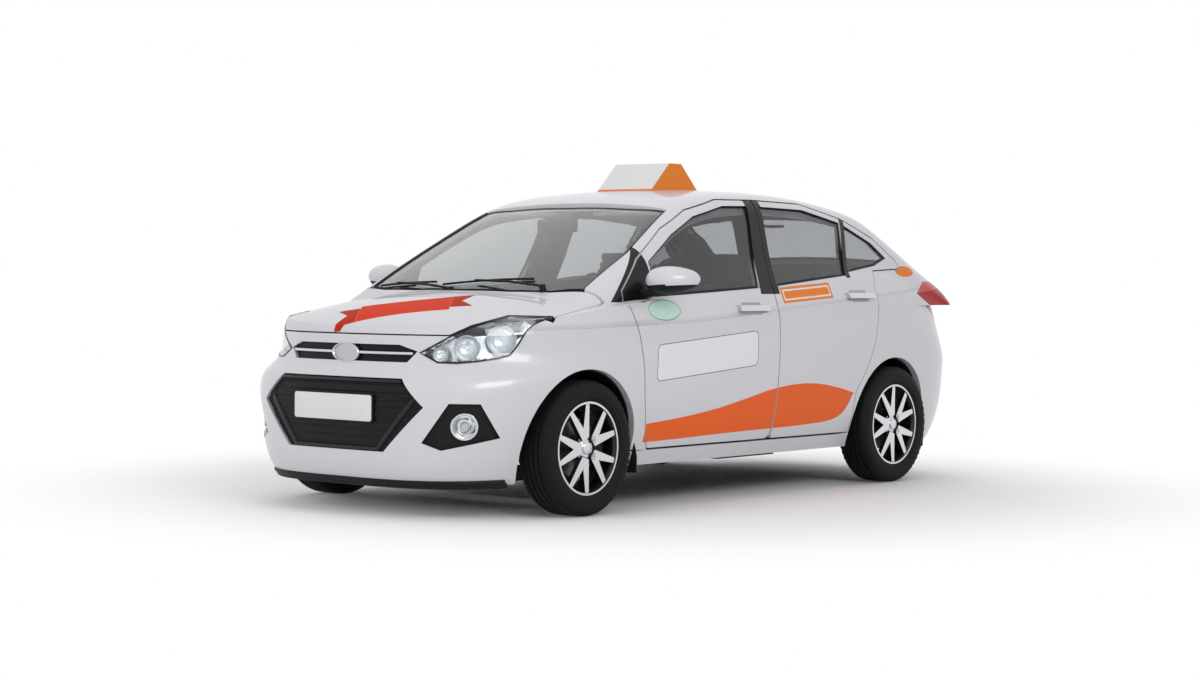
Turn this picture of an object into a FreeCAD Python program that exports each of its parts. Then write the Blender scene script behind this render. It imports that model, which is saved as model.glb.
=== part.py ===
import FreeCAD, Part
import math
import os
import re
import Sketcher

V = FreeCAD.Vector
doc = FreeCAD.newDocument("taxi_cab")

# Driving sizes in millimetres. X points forward, Y to the driver's side, Z up.
# The origin lies on the ground at mid-length in the centre plane.
SIZES = {
    # whole car
    "car_length": 3995, "car_width": 1660, "roof_height": 1470,
    "wheel_base": 2425, "front_overhang": 735,
    "front_track": 1479, "rear_track": 1493,
    # body surface
    "body_top": 1130, "nose_start": 900, "tail_start": 400, "shoulder_rise": 80,
    "deck_crown": 72, "deck_depth": 1400, "house_depth": 560,
    "belt_height": 930, "belt_width": 1580, "house_foot": 30, "house_skirt": 120,
    # panels, seams and shut gaps
    "skin_wall": 30, "door_wall": 80, "frame_wall": 38, "shut_gap": 6, "overrun": 400,
    "seat_gap": 0.3, "glass_wall": 5, "glass_inset": 9, "sill_foot": 195, "sill_top": 262,
    "arch_radius": 342, "liner_wall": 6, "liner_reach": 345, "plug_depth": 620, "roof_lift": 20,
    "bonnet_line": 786, "lamp_depth": 70, "grille_inset": 15,
    "grille_wall": 14, "cowl_gap": 14, "boot_line": 690, "pillar_gap": 16, "pillar_wall": 48,
    # wheels
    "tyre_radius": 295, "tyre_width": 175, "rim_radius": 203, "rim_width": 152,
    "rim_wall": 9, "spoke_width": 17, "spoke_depth": 24, "hub_radius": 62, "disc_radius": 128,
    "disc_wall": 20, "disc_offset": 8, "hub_bore": 28,
    # steering and suspension
    "kingpin_offset": 81, "strut_radius": 22, "strut_top": 770, "upright_radius": 26,
    "upright_height": 210, "arm_wall": 30, "arm_width": 60, "beam_radius": 34,
    "kingpin_lean": 10,
    "subframe_wall": 60, "subframe_length": 300, "steer_wheel_radius": 182,
    "steer_wheel_grip": 15, "steer_wheel_lean": 24, "column_radius": 22,
    "column_length": 330,
    # floor and interior
    "floor_height": 215, "floor_wall": 22, "floor_front": 880, "floor_back": 1700,
    "floor_width": 1300, "firewall_top": 880, "firewall_wall": 26, "firewall_width": 1230,
    "boot_floor": 420, "boot_floor_front": 820, "dash_depth": 330, "dash_height": 300,
    "dash_width": 1340, "dash_top": 930, "dash_front": 880,
    "seat_width": 500, "seat_length": 500, "seat_height": 170, "seat_foot": 290,
    "seat_pitch": 740, "front_seat_front": 420, "back_height": 640, "back_wall": 130,
    "back_lean": 20, "rest_width": 260, "rest_height": 170, "rest_wall": 100,
    "bench_width": 1290, "bench_front": 340, "bench_length": 450,
    # drive and underbody
    "engine_length": 520, "engine_width": 760, "engine_height": 430, "engine_foot": 345,
    "engine_front": 1560, "tank_length": 480, "tank_width": 620, "tank_height": 150,
    "pipe_radius": 24, "silencer_radius": 85, "silencer_length": 460,
    # roof sign, mirrors, handles
    "sign_place": -157, "sign_width": 338, "sign_foot_length": 420, "sign_top_length": 96,
    "sign_top": 1596, "mirror_width": 190, "mirror_height": 128, "mirror_depth": 95,
    "handle_length": 232, "handle_height": 26, "handle_reach": 26,
    "shelf_height": 985, "shelf_length": 260,
    "steer_wheel_front": 470, "steer_wheel_height": 915,
    # hinges of bonnet and boot lid, and the front frame
    "bonnet_hinge_place": 1070, "bonnet_hinge_height": 955, "bonnet_hinge_side": 490,
    "bonnet_hinge_hold": 125, "bonnet_hinge_depth": 92,
    "boot_hinge_place": -1500, "boot_hinge_height": 1120, "boot_hinge_side": 490,
    "boot_hinge_hold": 75, "boot_hinge_depth": 74, "hinge_pin": 6, "hinge_arm": 14, "hinge_wall": 8, "plate_inset": 14,
    "rail_wall": 90, "rail_foot": 395, "beam_wall": 60, "beam_reach": 600, "tower_wall": 20,
    "tower_length": 140,
}

sheet = doc.addObject("Spreadsheet::Sheet", "Sizes")
for row, (alias, number) in enumerate(SIZES.items(), start=1):
    sheet.set("A%d" % row, alias)
    sheet.set("B%d" % row, str(number))
    sheet.setAlias("B%d" % row, alias)
doc.recompute()


def size(alias):
    return float(sheet.get(alias))


half_length = size("car_length") / 2
half_width = size("car_width") / 2
front_axle = half_length - size("front_overhang")
rear_axle = front_axle - size("wheel_base")


def smooth(table, at):
    """Height at a place on a smooth curve through the table's points (rising places)."""
    if at <= table[0][0]:
        return table[0][1]
    if at >= table[-1][0]:
        return table[-1][1]
    slopes = []
    last = len(table) - 1
    for i in range(len(table)):
        low, high = table[max(i - 1, 0)], table[min(i + 1, last)]
        slopes.append((high[1] - low[1]) / (high[0] - low[0]))
    i = max(k for k in range(last) if table[k][0] <= at)
    (x0, y0), (x1, y1) = table[i], table[i + 1]
    step = x1 - x0
    u = (at - x0) / step
    return ((2 * u**3 - 3 * u**2 + 1) * y0 + (u**3 - 2 * u**2 + u) * step * slopes[i]
            + (3 * u**2 - 2 * u**3) * y1 + (u**3 - u**2) * step * slopes[i + 1])


# Level rings of the lower body, from the sill up. Columns: height as a share of body_top,
# half width as a share of half the car's width, reach of nose and tail as shares of half its
# length, roundness powers of nose and tail in plan, and how much the level rises to the tail.
LEVEL_SHARES = (
    (0.133, 0.860, 0.966, 0.951, 3.5, 5.0, 0.0),
    (0.168, 0.885, 0.988, 0.976, 3.5, 5.0, 0.0),
    (0.212, 0.910, 0.996, 0.989, 3.5, 5.0, 0.0),
    (0.265, 0.937, 0.999, 0.995, 3.5, 5.0, 0.0),
    (0.372, 0.972, 1.000, 1.000, 3.5, 5.0, 0.0),
    (0.478, 0.989, 0.997, 1.000, 3.5, 5.0, 0.05),
    (0.531, 0.994, 0.985, 1.000, 3.4, 5.0, 0.15),
    (0.575, 0.998, 0.967, 0.996, 3.0, 4.8, 0.30),
    (0.637, 1.000, 0.964, 0.984, 2.7, 4.5, 0.55),
    (0.700, 0.997, 0.962, 0.976, 2.65, 4.2, 0.85),
    (0.757, 0.988, 0.946, 0.971, 2.6, 4.0, 1.0),
    (0.814, 0.965, 0.926, 0.967, 2.6, 4.0, 0.75),
    (0.867, 0.938, 0.901, 0.964, 2.6, 4.0, 0.45),
    (0.929, 0.900, 0.871, 0.959, 2.6, 4.0, 0.15),
    (1.000, 0.850, 0.841, 0.946, 2.6, 4.0, 0.0),
)
NOSE_SHARES = (0.0, 0.12, 0.25, 0.38, 0.5, 0.62, 0.72, 0.8, 0.87, 0.92, 0.96)
SIDE_SHARES = (0.8, 0.6, 0.4, 0.2, 0.0)


def end_curve(start, reach, half, power, sign):
    """Plan points of one rounded end, from the centre plane out to the straight side."""
    run = reach - start
    points = []
    for share in NOSE_SHARES:
        along = (1 - share**power) ** (1 / power)
        points.append((sign * (start + run * along), half * share))
    last_share = (1 - NOSE_SHARES[-1] ** power) ** (1 / power)
    for share in SIDE_SHARES:
        along = last_share * share
        points.append((sign * (start + run * along), half * (1 - along**power) ** (1 / power)))
    return points


def level_ring(level, inset):
    height, width, nose, tail, nose_power, tail_power, rise = level
    half = width * half_width - inset
    front = end_curve(size("nose_start"), nose * half_length - inset, half, nose_power, 1)
    back = end_curve(size("tail_start"), tail * half_length - inset, half, tail_power, -1)
    first, last = size("nose_start"), -size("tail_start")
    middle = [(first + (last - first) * share, half) for share in (0.25, 0.5, 0.75)]
    ring = []
    for x, y in front + middle + back[::-1]:
        lift = min(max((size("nose_start") - x) / (2 * half_length - size("front_overhang")), 0), 1)
        lift = lift * lift * (3 - 2 * lift)
        ring.append(V(x, y, height * size("body_top") + rise * lift * size("shoulder_rise")))
    return ring


def surface(grid):
    face = Part.BSplineSurface()
    face.interpolate(grid)
    return face.toShape()


def tub(inset):
    """Closed solid inside the level rings, moved in by the inset."""
    left = surface([level_ring(level, inset) for level in LEVEL_SHARES])
    right = left.mirror(V(0, 0, 0), V(0, 1, 0))
    caps = []
    for z in (left.BoundBox.ZMin, left.BoundBox.ZMax):
        edges = []
        for side in (left, right):
            flat = [e for e in side.Edges if e.BoundBox.ZLength < 0.5
                    and abs(e.BoundBox.ZMin - z) < 0.5]
            edges += flat
        caps.append(Part.Face(Part.Wire(edges)))
    shell = Part.makeShell([left, right] + caps)
    shell.sewShape()
    solid = Part.Solid(shell)
    if solid.Volume < 0:
        solid.reverse()
    return solid


# Centre line of the bonnet and boot deck: place as a share of half the length, height as a
# share of body_top.
DECK_SHARES = (
    (-1.050, 0.885), (-0.965, 0.955), (-0.930, 0.970), (-0.850, 0.981), (-0.725, 0.992),
    (-0.528, 0.989), (-0.150, 0.947), (0.150, 0.916), (0.400, 0.894), (0.550, 0.871),
    (0.700, 0.829), (0.850, 0.781), (0.925, 0.746), (0.965, 0.715), (1.050, 0.620),
)
CROWN_SHARES = ((-1.050, 0.5), (-0.528, 0.55), (0.0, 0.85), (0.6, 1.0), (1.050, 1.0))
DECK_STATION_SHARES = (-1.05, -0.99, -0.96, -0.93, -0.85, -0.75, -0.64, -0.52, -0.35, -0.15, 0.05,
                       0.25, 0.4, 0.55, 0.65, 0.75, 0.85, 0.91, 0.95, 0.99, 1.05)
DECK_ROW_SHARES = (-1.08, -0.9, -0.7, -0.45, -0.2, 0.0, 0.2, 0.45, 0.7, 0.9, 1.08)


def deck(inset):
    grid = []
    for station in DECK_STATION_SHARES:
        middle = smooth(DECK_SHARES, station) * size("body_top")
        crown = smooth(CROWN_SHARES, station) * size("deck_crown")
        row = []
        for share in DECK_ROW_SHARES:
            drop = crown * (abs(share) / 0.92) ** 2.4
            row.append(V(station * half_length, share * half_width, middle - drop - inset))
        grid.append(row)
    return surface(grid).extrude(V(0, 0, -size("deck_depth")))


# Centre line of windscreen, roof and rear window: place as a share of half the length, height
# as a share of the roof's.
HOUSE_SHARES = (
    (-0.900, 0.690), (-0.850, 0.735), (-0.780, 0.784), (-0.680, 0.862), (-0.570, 0.939),
    (-0.450, 0.972), (-0.300, 0.992), (-0.150, 1.000), (0.000, 0.994), (0.120, 0.974),
    (0.215, 0.938), (0.320, 0.870), (0.450, 0.778), (0.560, 0.697), (0.650, 0.622),
)
HOUSE_CROWN_SHARES = ((-0.900, 0.9), (-0.600, 0.8), (-0.300, 0.65), (0.1, 0.7), (0.3, 0.95),
                      (0.650, 1.1))
HOUSE_STATION_SHARES = (-0.90, -0.85, -0.79, -0.72, -0.65, -0.57, -0.48, -0.38, -0.25, -0.1, 0.03,
                        0.12, 0.19, 0.26, 0.34, 0.43, 0.52, 0.6, 0.65)
HOUSE_WIDTH_SHARES = ((-0.900, 0.95), (-0.600, 0.985), (-0.2, 1.0), (0.2, 1.0), (0.45, 0.975),
                      (0.650, 0.94))
SIDE_LEAN_SHARE = 0.36
TOP_ROW_SHARES = (0.0, 0.3, 0.6, 0.82)
SIDE_ROW_SHARES = (0.0, 0.25, 0.5, 0.75, 1.0)
# Crown of the roof and size of the rounded rail, as shares of half the car's width.
ROOF_CROWN_SHARE = 0.065
RAIL_ROUND_SHARE = 0.085


def side_width(z):
    """Half width of the cabin side at a height: it leans in above the belt."""
    return size("belt_width") / 2 - SIDE_LEAN_SHARE * (z - size("belt_height"))


def house_section(station, inset_top, inset_side):
    middle = smooth(HOUSE_SHARES, station) * size("roof_height") - inset_top
    crown = smooth(HOUSE_CROWN_SHARES, station) * ROOF_CROWN_SHARE * half_width
    wide = smooth(HOUSE_WIDTH_SHARES, station)
    corner_z = middle - crown
    corner_y = side_width(corner_z) * wide - inset_side
    fillet = RAIL_ROUND_SHARE * half_width
    points = []
    for share in TOP_ROW_SHARES:
        points.append((corner_y * share, middle - crown * share**2.2))
    points.append((corner_y - 0.24 * fillet, corner_z - 0.28 * fillet))
    top = corner_z - fillet
    foot = min(size("belt_height"), corner_z) - size("house_skirt")
    for share in SIDE_ROW_SHARES:
        z = top + (foot - top) * share
        points.append((side_width(z) * wide - inset_side, z))
    x = station * half_length
    left = [V(x, y, z) for y, z in points]
    right = [V(x, -y, z) for y, z in points[1:]]
    return right[::-1] + left


def house(inset_top, inset_side):
    """Closed solid of the cabin above a level plane just below the belt."""
    grid = [house_section(station, inset_top, inset_side) for station in HOUSE_STATION_SHARES]
    solid = surface(grid).extrude(V(0, 0, -size("house_depth")))
    floor = size("belt_height") - size("house_foot")
    above = Part.makeBox(2 * size("car_length"), 2 * size("car_width"), size("roof_height"),
                         V(-size("car_length"), -size("car_width"), floor))
    return solid.common(above)


def belt_room(inset):
    """Box that joins the room under the belt to the room above it."""
    wide, tall = size("belt_width") - 2 * inset, size("house_skirt") + size("house_foot")
    return Part.makeBox(2 * size("car_length"), wide, tall,
                        V(-size("car_length"), -wide / 2, size("belt_height") - size("house_skirt")))


def flat(points, place):
    """Prism face: a closed polygon whose corners the place function sets in space."""
    corners = [place(*point) for point in points]
    return Part.Face(Part.makePolygon(corners + corners[:1]))


def side_prism(points, low, high):
    """Polygon in X and Z, extruded across the car from low to high."""
    return flat(points, lambda x, z: V(x, low, z)).extrude(V(0, high - low, 0))


def plan_prism(points, low, high):
    """Polygon in X and Y, extruded upwards from low to high."""
    return flat(points, lambda x, y: V(x, y, low)).extrude(V(0, 0, high - low))


def front_prism(points, low, high):
    """Polygon in Y and Z, extruded forward from low to high."""
    return flat(points, lambda y, z: V(low, y, z)).extrude(V(high - low, 0, 0))


# Corner lamps and fog lamp bezels are cut along a level line at this angle to the car's axis.
CORNER_ANGLE = math.radians(40)
CORNER_ALONG = V(math.cos(CORNER_ANGLE), math.sin(CORNER_ANGLE), 0)
CORNER_ACROSS = V(-math.sin(CORNER_ANGLE), math.cos(CORNER_ANGLE), 0)


def corner_prism(points, low, high):
    """Polygon across the corner direction and Z, extruded along that direction."""
    start = CORNER_ALONG * low
    face = flat(points, lambda u, z: start + CORNER_ACROSS * u + V(0, 0, z))
    return face.extrude(CORNER_ALONG * (high - low))


def grown(points, gap):
    """Polygon with every side moved out by the gap."""
    count = len(points)
    area = sum(points[i][0] * points[(i + 1) % count][1] - points[(i + 1) % count][0] * points[i][1]
               for i in range(count))
    turn = 1 if area > 0 else -1
    result = []
    for i in range(count):
        before, here, after = points[i - 1], points[i], points[(i + 1) % count]
        lines = []
        for start, end in ((before, here), (here, after)):
            along = (end[0] - start[0], end[1] - start[1])
            long = math.hypot(*along)
            normal = (turn * along[1] / long, -turn * along[0] / long)
            lines.append((normal, normal[0] * here[0] + normal[1] * here[1] + gap))
        (a, p), (b, q) = lines
        det = a[0] * b[1] - a[1] * b[0]
        if abs(det) < 0.05:
            result.append((here[0] + a[0] * gap, here[1] + a[1] * gap))
        else:
            result.append(((p * b[1] - q * a[1]) / det, (a[0] * q - b[0] * p) / det))
    return result


def mirrored(shape):
    return shape.mirror(V(0, 0, 0), V(0, 1, 0))


def biggest(shape):
    return max(shape.Solids, key=lambda solid: solid.Volume)


def keep(label, shape):
    """Document object for a shape made with the modelling functions above."""
    piece = doc.addObject("Part::Feature", label)
    piece.Shape = shape
    piece.Label = label
    nodes.append(piece)
    return piece


nodes = []
gap = size("shut_gap")
reach = size("overrun")

lower = tub(0).common(deck(0))
outer = lower.fuse(house(0, 0))
skin_in = tub(size("skin_wall")).common(deck(size("skin_wall")))
frame_in = house(size("frame_wall"), size("frame_wall"))
hollow = skin_in.fuse(frame_in)
lower_in = tub(size("door_wall")).common(deck(size("door_wall")))
cabin = lower_in.fuse(house(-size("roof_lift"), size("frame_wall")))
door_belt = belt_room(size("door_wall"))
frame_room = house(-size("roof_lift"), size("frame_wall") + size("shut_gap"))


# Door outlines in side view on the outer skin. Columns: X, Z and how far the edge slants
# forward per length inboard, so that the door swings out past its frame.
def share_points(shares):
    return [(x * half_length, z * size("body_top")) for x, z in shares]


FRONT_DOOR_SHARES = (
    ((0.4885, 0.806), 0.0), ((0.4640, 0.690), 0.0), ((0.4450, 0.545), 0.0), ((0.4370, 0.434), 0.0),
    ((0.4190, 0.290), 0.0), ((0.4000, 0.240), 0.0),
    ((-0.0550, 0.240), 0.14), ((-0.0676, 0.256), 0.14), ((-0.0676, 0.810), 0.15),
    ((-0.0700, 0.885), 0.17), ((-0.0975, 1.246), 0.24),
    ((0.0350, 1.242), 0.20), ((0.1700, 1.192), 0.12), ((0.2750, 1.112), 0.08),
    ((0.3950, 0.988), 0.04), ((0.4850, 0.860), 0.0),
)
REAR_DOOR_SHARES = (
    ((-0.0706, 0.810), 0.0), ((-0.0706, 0.256), 0.0), ((-0.0800, 0.240), 0.0),
    ((-0.4100, 0.240), 0.16), ((-0.4100, 0.360), 0.16), ((-0.4080, 0.414), 0.16),
    ((-0.4540, 0.527), 0.14), ((-0.4840, 0.640), 0.13), ((-0.5000, 0.750), 0.12),
    ((-0.5120, 0.880), 0.14), ((-0.5450, 0.955), 0.16), ((-0.6750, 0.965), 0.16),
    ((-0.6640, 0.998), 0.17), ((-0.5830, 1.096), 0.22), ((-0.4640, 1.180), 0.28),
    ((-0.3050, 1.240), 0.24), ((-0.1005, 1.246), 0.0), ((-0.0730, 0.885), 0.0),
)


def skin_depth(z):
    """Half width of the skin at a height, along the doors."""
    if z > size("belt_height"):
        return side_width(z)
    return half_width


def plug(shares, wider):
    """Loft that cuts a door or its opening: the edges slant forward going inboard."""
    points = share_points([place for place, slant in shares])
    if wider:
        points = grown(points, gap)
    faces = []
    for y in (half_width + size("arch_radius"), half_width + size("arch_radius") - size("plug_depth")):
        corners = []
        for (x, z), (place, slant) in zip(points, shares):
            corners.append(V(x + slant * (skin_depth(z) - y), y, z))
        faces.append(Part.makePolygon(corners + corners[:1]))
    return Part.makeLoft(faces, True, True)


front_plug, front_hole = plug(FRONT_DOOR_SHARES, False), plug(FRONT_DOOR_SHARES, True)
rear_plug, rear_hole = plug(REAR_DOOR_SHARES, False), plug(REAR_DOOR_SHARES, True)

# Window openings in side view, and the bar before the small rear pane.
FRONT_PANE_SHARES = (
    (0.3780, 0.838), (-0.0180, 0.874), (-0.0640, 1.222), (0.0320, 1.218),
    (0.1620, 1.168), (0.2620, 1.090), (0.3700, 0.978),
)
REAR_PANE_SHARES = (
    (-0.0900, 0.882), (-0.4060, 0.930), (-0.4480, 1.165), (-0.3000, 1.216), (-0.1180, 1.222),
)
SMALL_PANE_SHARES = ((-0.4240, 0.945), (-0.5600, 0.975), (-0.6230, 1.010), (-0.5700, 1.078),
                     (-0.4640, 1.155))


def pane_prism(shares, shrink):
    return side_prism(grown(share_points(shares), -shrink), 0, half_width + reach)


# Bonnet and boot lid outlines in plan: X and Y as shares of half length and half width.
def plan_points(shares):
    left = [(x * half_length, y * half_width) for x, y in shares]
    return left + [(x, -y) for x, y in left[::-1] if y]


BONNET_SHARES = ((0.6080, 0.0), (0.6040, 0.35), (0.5900, 0.62), (0.5545, 0.905), (0.7184, 0.905),
                 (0.8000, 0.810), (0.8716, 0.716), (0.9066, 0.660), (0.9500, 0.600), (1.0500, 0.520))
BOOT_SHARES = ((-0.7850, 0.0), (-0.7850, 0.45), (-0.7760, 0.720), (-0.8600, 0.730),
               (-1.0500, 0.690))
SCREEN_SHARES = ((0.6060, 0.0), (0.6000, 0.35), (0.5850, 0.60), (0.5545, 0.790), (0.4000, 0.775),
                 (0.2050, 0.680), (0.2180, 0.45), (0.2250, 0.0))
REAR_SCREEN_SHARES = ((-0.5650, 0.0), (-0.5650, 0.45), (-0.5800, 0.640), (-0.7300, 0.700),
                      (-0.7780, 0.670), (-0.7900, 0.45), (-0.7920, 0.0))

LAMP_SHARES = ((-1.092, 0.627), (-0.937, 0.690), (-0.822, 0.728), (-0.645, 0.764), (-0.420, 0.762),
               (-0.506, 0.735), (-0.545, 0.710), (-0.589, 0.656), (-0.628, 0.619), (-0.683, 0.607),
               (-0.780, 0.596), (-0.896, 0.587), (-0.996, 0.589))
BEZEL_SHARES = ((-0.931, 0.443), (-0.771, 0.442), (-0.673, 0.314), (-0.971, 0.268), (-1.070, 0.295))
LOWER_GRILLE_SHARES = ((0.434, 0.531), (0.581, 0.427), (0.348, 0.256))
UPPER_GRILLE_SHARES = ((0.360, 0.655), (0.460, 0.632), (0.410, 0.590))
TAIL_LAMP_SHARES = ((-0.735, 0.850), (-0.780, 0.905), (-0.900, 0.905), (-1.000, 0.865), (-1.000, 0.740),
                    (-0.860, 0.722), (-0.800, 0.780))


def corner_points(shares):
    return [(u * half_width, z * size("body_top")) for u, z in shares]


def front_points(shares):
    left = [(y * half_width, z * size("body_top")) for y, z in shares]
    return left + [(-y, z) for y, z in left[::-1]]


bonnet_cut = plan_prism(plan_points(BONNET_SHARES), size("bonnet_line"), size("roof_height"))
bonnet_room = plan_prism(grown(plan_points(BONNET_SHARES), gap), size("bonnet_line") - gap,
                         size("roof_height"))
cowl_room = bonnet_room.fuse(bonnet_room.translated(V(gap - size("cowl_gap"), 0, 0)))
boot_cut = plan_prism(plan_points(BOOT_SHARES), size("boot_line"), size("roof_height"))
boot_room = plan_prism(grown(plan_points(BOOT_SHARES), gap), size("boot_line") - gap,
                       size("roof_height"))
screen_cut = plan_prism(plan_points(SCREEN_SHARES), size("belt_height") - gap, 2 * size("roof_height"))
rear_screen_cut = plan_prism(plan_points(REAR_SCREEN_SHARES), size("belt_height"),
                             2 * size("roof_height"))
screen_hole = plan_prism(grown(plan_points(SCREEN_SHARES), size("seat_gap")),
                         size("belt_height") - gap, 2 * size("roof_height"))
rear_screen_hole = plan_prism(grown(plan_points(REAR_SCREEN_SHARES), size("seat_gap")),
                              size("belt_height"), 2 * size("roof_height"))
LAMP_NEAR_SHARE, LAMP_FAR_SHARE = 1.78, 2.4


def corner_cut(shares, wider):
    """Prism of a lamp or bezel, or with a gap the deeper hole that it sits in."""
    deeper = size("skin_wall") if wider else 0
    return corner_prism(grown(corner_points(shares), wider), LAMP_NEAR_SHARE * half_width - deeper,
                        LAMP_FAR_SHARE * half_width)


def grille_cut(shares, wider):
    return front_prism(grown(front_points(shares), wider), size("nose_start"), half_length + reach)


def tail_cut(wider):
    return side_prism(grown(share_points(TAIL_LAMP_SHARES), wider), half_width * 0.76, full)


full = half_width + reach
seat = size("seat_gap")
lamp_cut, lamp_hole = (corner_cut(LAMP_SHARES, wider) for wider in (0, seat))
bezel_hole, upper_grille_hole = corner_cut(BEZEL_SHARES, seat), grille_cut(UPPER_GRILLE_SHARES, seat)
lower_grille_hole = grille_cut(LOWER_GRILLE_SHARES, seat)
# Room for the lamp as the bonnet swings up: the lamp's upper edge, and all below it.
LAMP_CLEAR_SHARES = ((-1.092, 0.627), (-0.937, 0.690), (-0.822, 0.728), (-0.645, 0.764), (-0.420, 0.762),
                     (-0.385, 0.728), (-0.385, 0.600), (-1.092, 0.600))
lamp_clear = corner_prism(grown(corner_points(LAMP_CLEAR_SHARES), gap),
                          LAMP_NEAR_SHARE * half_width - 2 * size("skin_wall"),
                          LAMP_FAR_SHARE * half_width)
tail_lamp_cut, tail_lamp_hole, tail_lamp_room = (tail_cut(wider) for wider in (0, seat, gap))


def arch(at, radius):
    return Part.makeCylinder(radius, half_width * 2, V(at, half_width - size("liner_reach"),
                             size("tyre_radius")), V(0, 1, 0))


front_arch, rear_arch = arch(front_axle, size("arch_radius")), arch(rear_axle, size("arch_radius"))

# Seam lines in side view that split the fixed skin.
FENDER_SHARES = ((0.830, 0.900), (0.803, 0.633), (0.728, 0.518), (0.632, 0.260), (0.400, 0.232),
                 (0.400, 0.812), (0.5545, 0.812), (0.5545, 0.900))
BUMPER_SHARES = ((0.830, 0.900), (0.803, 0.633), (0.728, 0.518), (0.632, 0.100), (1.100, 0.100),
                 (1.100, 0.900))
QUARTER_SHARES = ((-0.380, 0.232), (-0.640, 0.232), (-0.700, 0.480), (-0.780, 0.640), (-1.100, 0.640),
                  (-1.100, 1.010), (-0.700, 1.200), (-0.500, 1.280), (-0.380, 1.280))
REAR_BUMPER_SHARES = ((-0.640, 0.100), (-0.640, 0.232), (-0.700, 0.480), (-0.780, 0.640),
                      (-1.100, 0.640), (-1.100, 0.100))



def skin_piece(region, inside, cuts):
    piece = outer.common(region).cut(inside)
    return piece.cut(cuts)


front_fender = skin_piece(side_prism(share_points(FENDER_SHARES), half_width * 0.8, full), hollow,
                          [front_hole, cowl_room, lamp_hole, front_arch])
ROOF_SHARES = ((0.205, 1.0), (0.205, 1.300), (-0.620, 1.300), (-0.620, 1.150), (-0.500, 1.0))
roof_band = side_prism(share_points(ROOF_SHARES), -full, full)
rear_quarter = skin_piece(side_prism(share_points(QUARTER_SHARES), half_width * 0.1, full), hollow,
                          [rear_hole, roof_band, boot_room, rear_screen_hole, tail_lamp_hole,
                           rear_arch])
wide_front = side_prism(share_points(BUMPER_SHARES), -full, full)
front_skin = skin_piece(wide_front, hollow, [bonnet_room, lamp_hole, mirrored(lamp_hole), bezel_hole,
                                             mirrored(bezel_hole), lower_grille_hole,
                                             upper_grille_hole, front_arch, mirrored(front_arch)])
wide_back = side_prism(share_points(REAR_BUMPER_SHARES), -full, full)
rear_skin = skin_piece(wide_back, hollow, [rear_arch, mirrored(rear_arch), boot_room])
bonnet_skin = skin_piece(bonnet_cut, hollow, [lamp_clear, mirrored(lamp_clear)])
PLATE_SHARES = ((0.330, 0.800), (0.350, 0.705), (0.320, 0.690))
plate_recess = front_prism(front_points(PLATE_SHARES), -half_length - reach, -size("tail_start"))
boot_skin = skin_piece(boot_cut, hollow, [tail_lamp_room, mirrored(tail_lamp_room),
                                          plate_recess.cut(tub(size("plate_inset")))])

front_slot, rear_slot = front_hole.cut(frame_room), rear_hole.cut(frame_room)
DOOR_SLOTS = [front_slot, rear_slot, mirrored(front_slot), mirrored(rear_slot)]
roof_skin = skin_piece(roof_band, frame_in,
                       DOOR_SLOTS + [screen_hole, rear_screen_hole])
PILLAR_SHARES = ((0.5545, 0.812), (0.205, 0.812), (0.205, 1.300), (0.5545, 1.300))
pillar_skin = skin_piece(side_prism(share_points(PILLAR_SHARES), half_width * 0.4, full), frame_in,
                         [front_slot, screen_hole, cowl_room])



def lid(skin, hinge, ahead):
    """Lid with two bent arms that reach round its opening's edge, bored for the hinge pins."""
    x, z, side = (size("%s_hinge_%s" % (hinge, part)) for part in ("place", "height", "side"))
    wall = size("hinge_arm")
    depth, hold = (size("%s_hinge_%s" % (hinge, part)) for part in ("depth", "hold"))
    outline = ((-wall / 2, wall / 2), (wall / 2, wall / 2), (wall / 2, wall - depth),
               (hold, wall - depth), (hold, 2 * wall), (hold + wall, 2 * wall), (hold + wall, -depth),
               (-wall / 2, -depth))
    arm = side_prism([(x + ahead * along, z + up) for along, up in outline],
                     side, side + size("hinge_wall"))
    bore = Part.makeCylinder(size("hinge_pin") + seat, full, V(x, 0, z), V(0, 1, 0))
    arm = arm.cut(bore).common(outer.translated(V(0, 0, -size("skin_wall") / 2)))
    return biggest(biggest(skin).fuse([arm, mirrored(arm)]))


def pin_bracket(hinge, foot):
    """Plate beside a lid's arm, from its foot points up to the pin that the arm turns on."""
    x, z, side = (size("%s_hinge_%s" % (hinge, part)) for part in ("place", "height", "side"))
    wall, pin = size("hinge_wall"), size("hinge_pin")
    plate = side_prism(foot + [(x - pin, z + pin), (x + pin, z + pin)], side - wall - gap, side - gap)
    shaft = Part.makeCylinder(pin, 2 * wall + 2 * gap, V(x, side - wall - gap, z), V(0, 1, 0))
    return plate.fuse(shaft)


keep("roof_panel", biggest(roof_skin))
for label, shape in (("front_fenders", front_fender), ("quarters", rear_quarter),
                     ("a_pillars", pillar_skin)):
    keep(label, Part.makeCompound([biggest(shape), mirrored(biggest(shape))]))
keep("front_bumper", biggest(front_skin))
keep("rear_bumper", biggest(rear_skin))
keep("bonnet", lid(bonnet_skin, "bonnet", 1))
keep("boot_lid", lid(boot_skin, "boot", -1))

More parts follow.
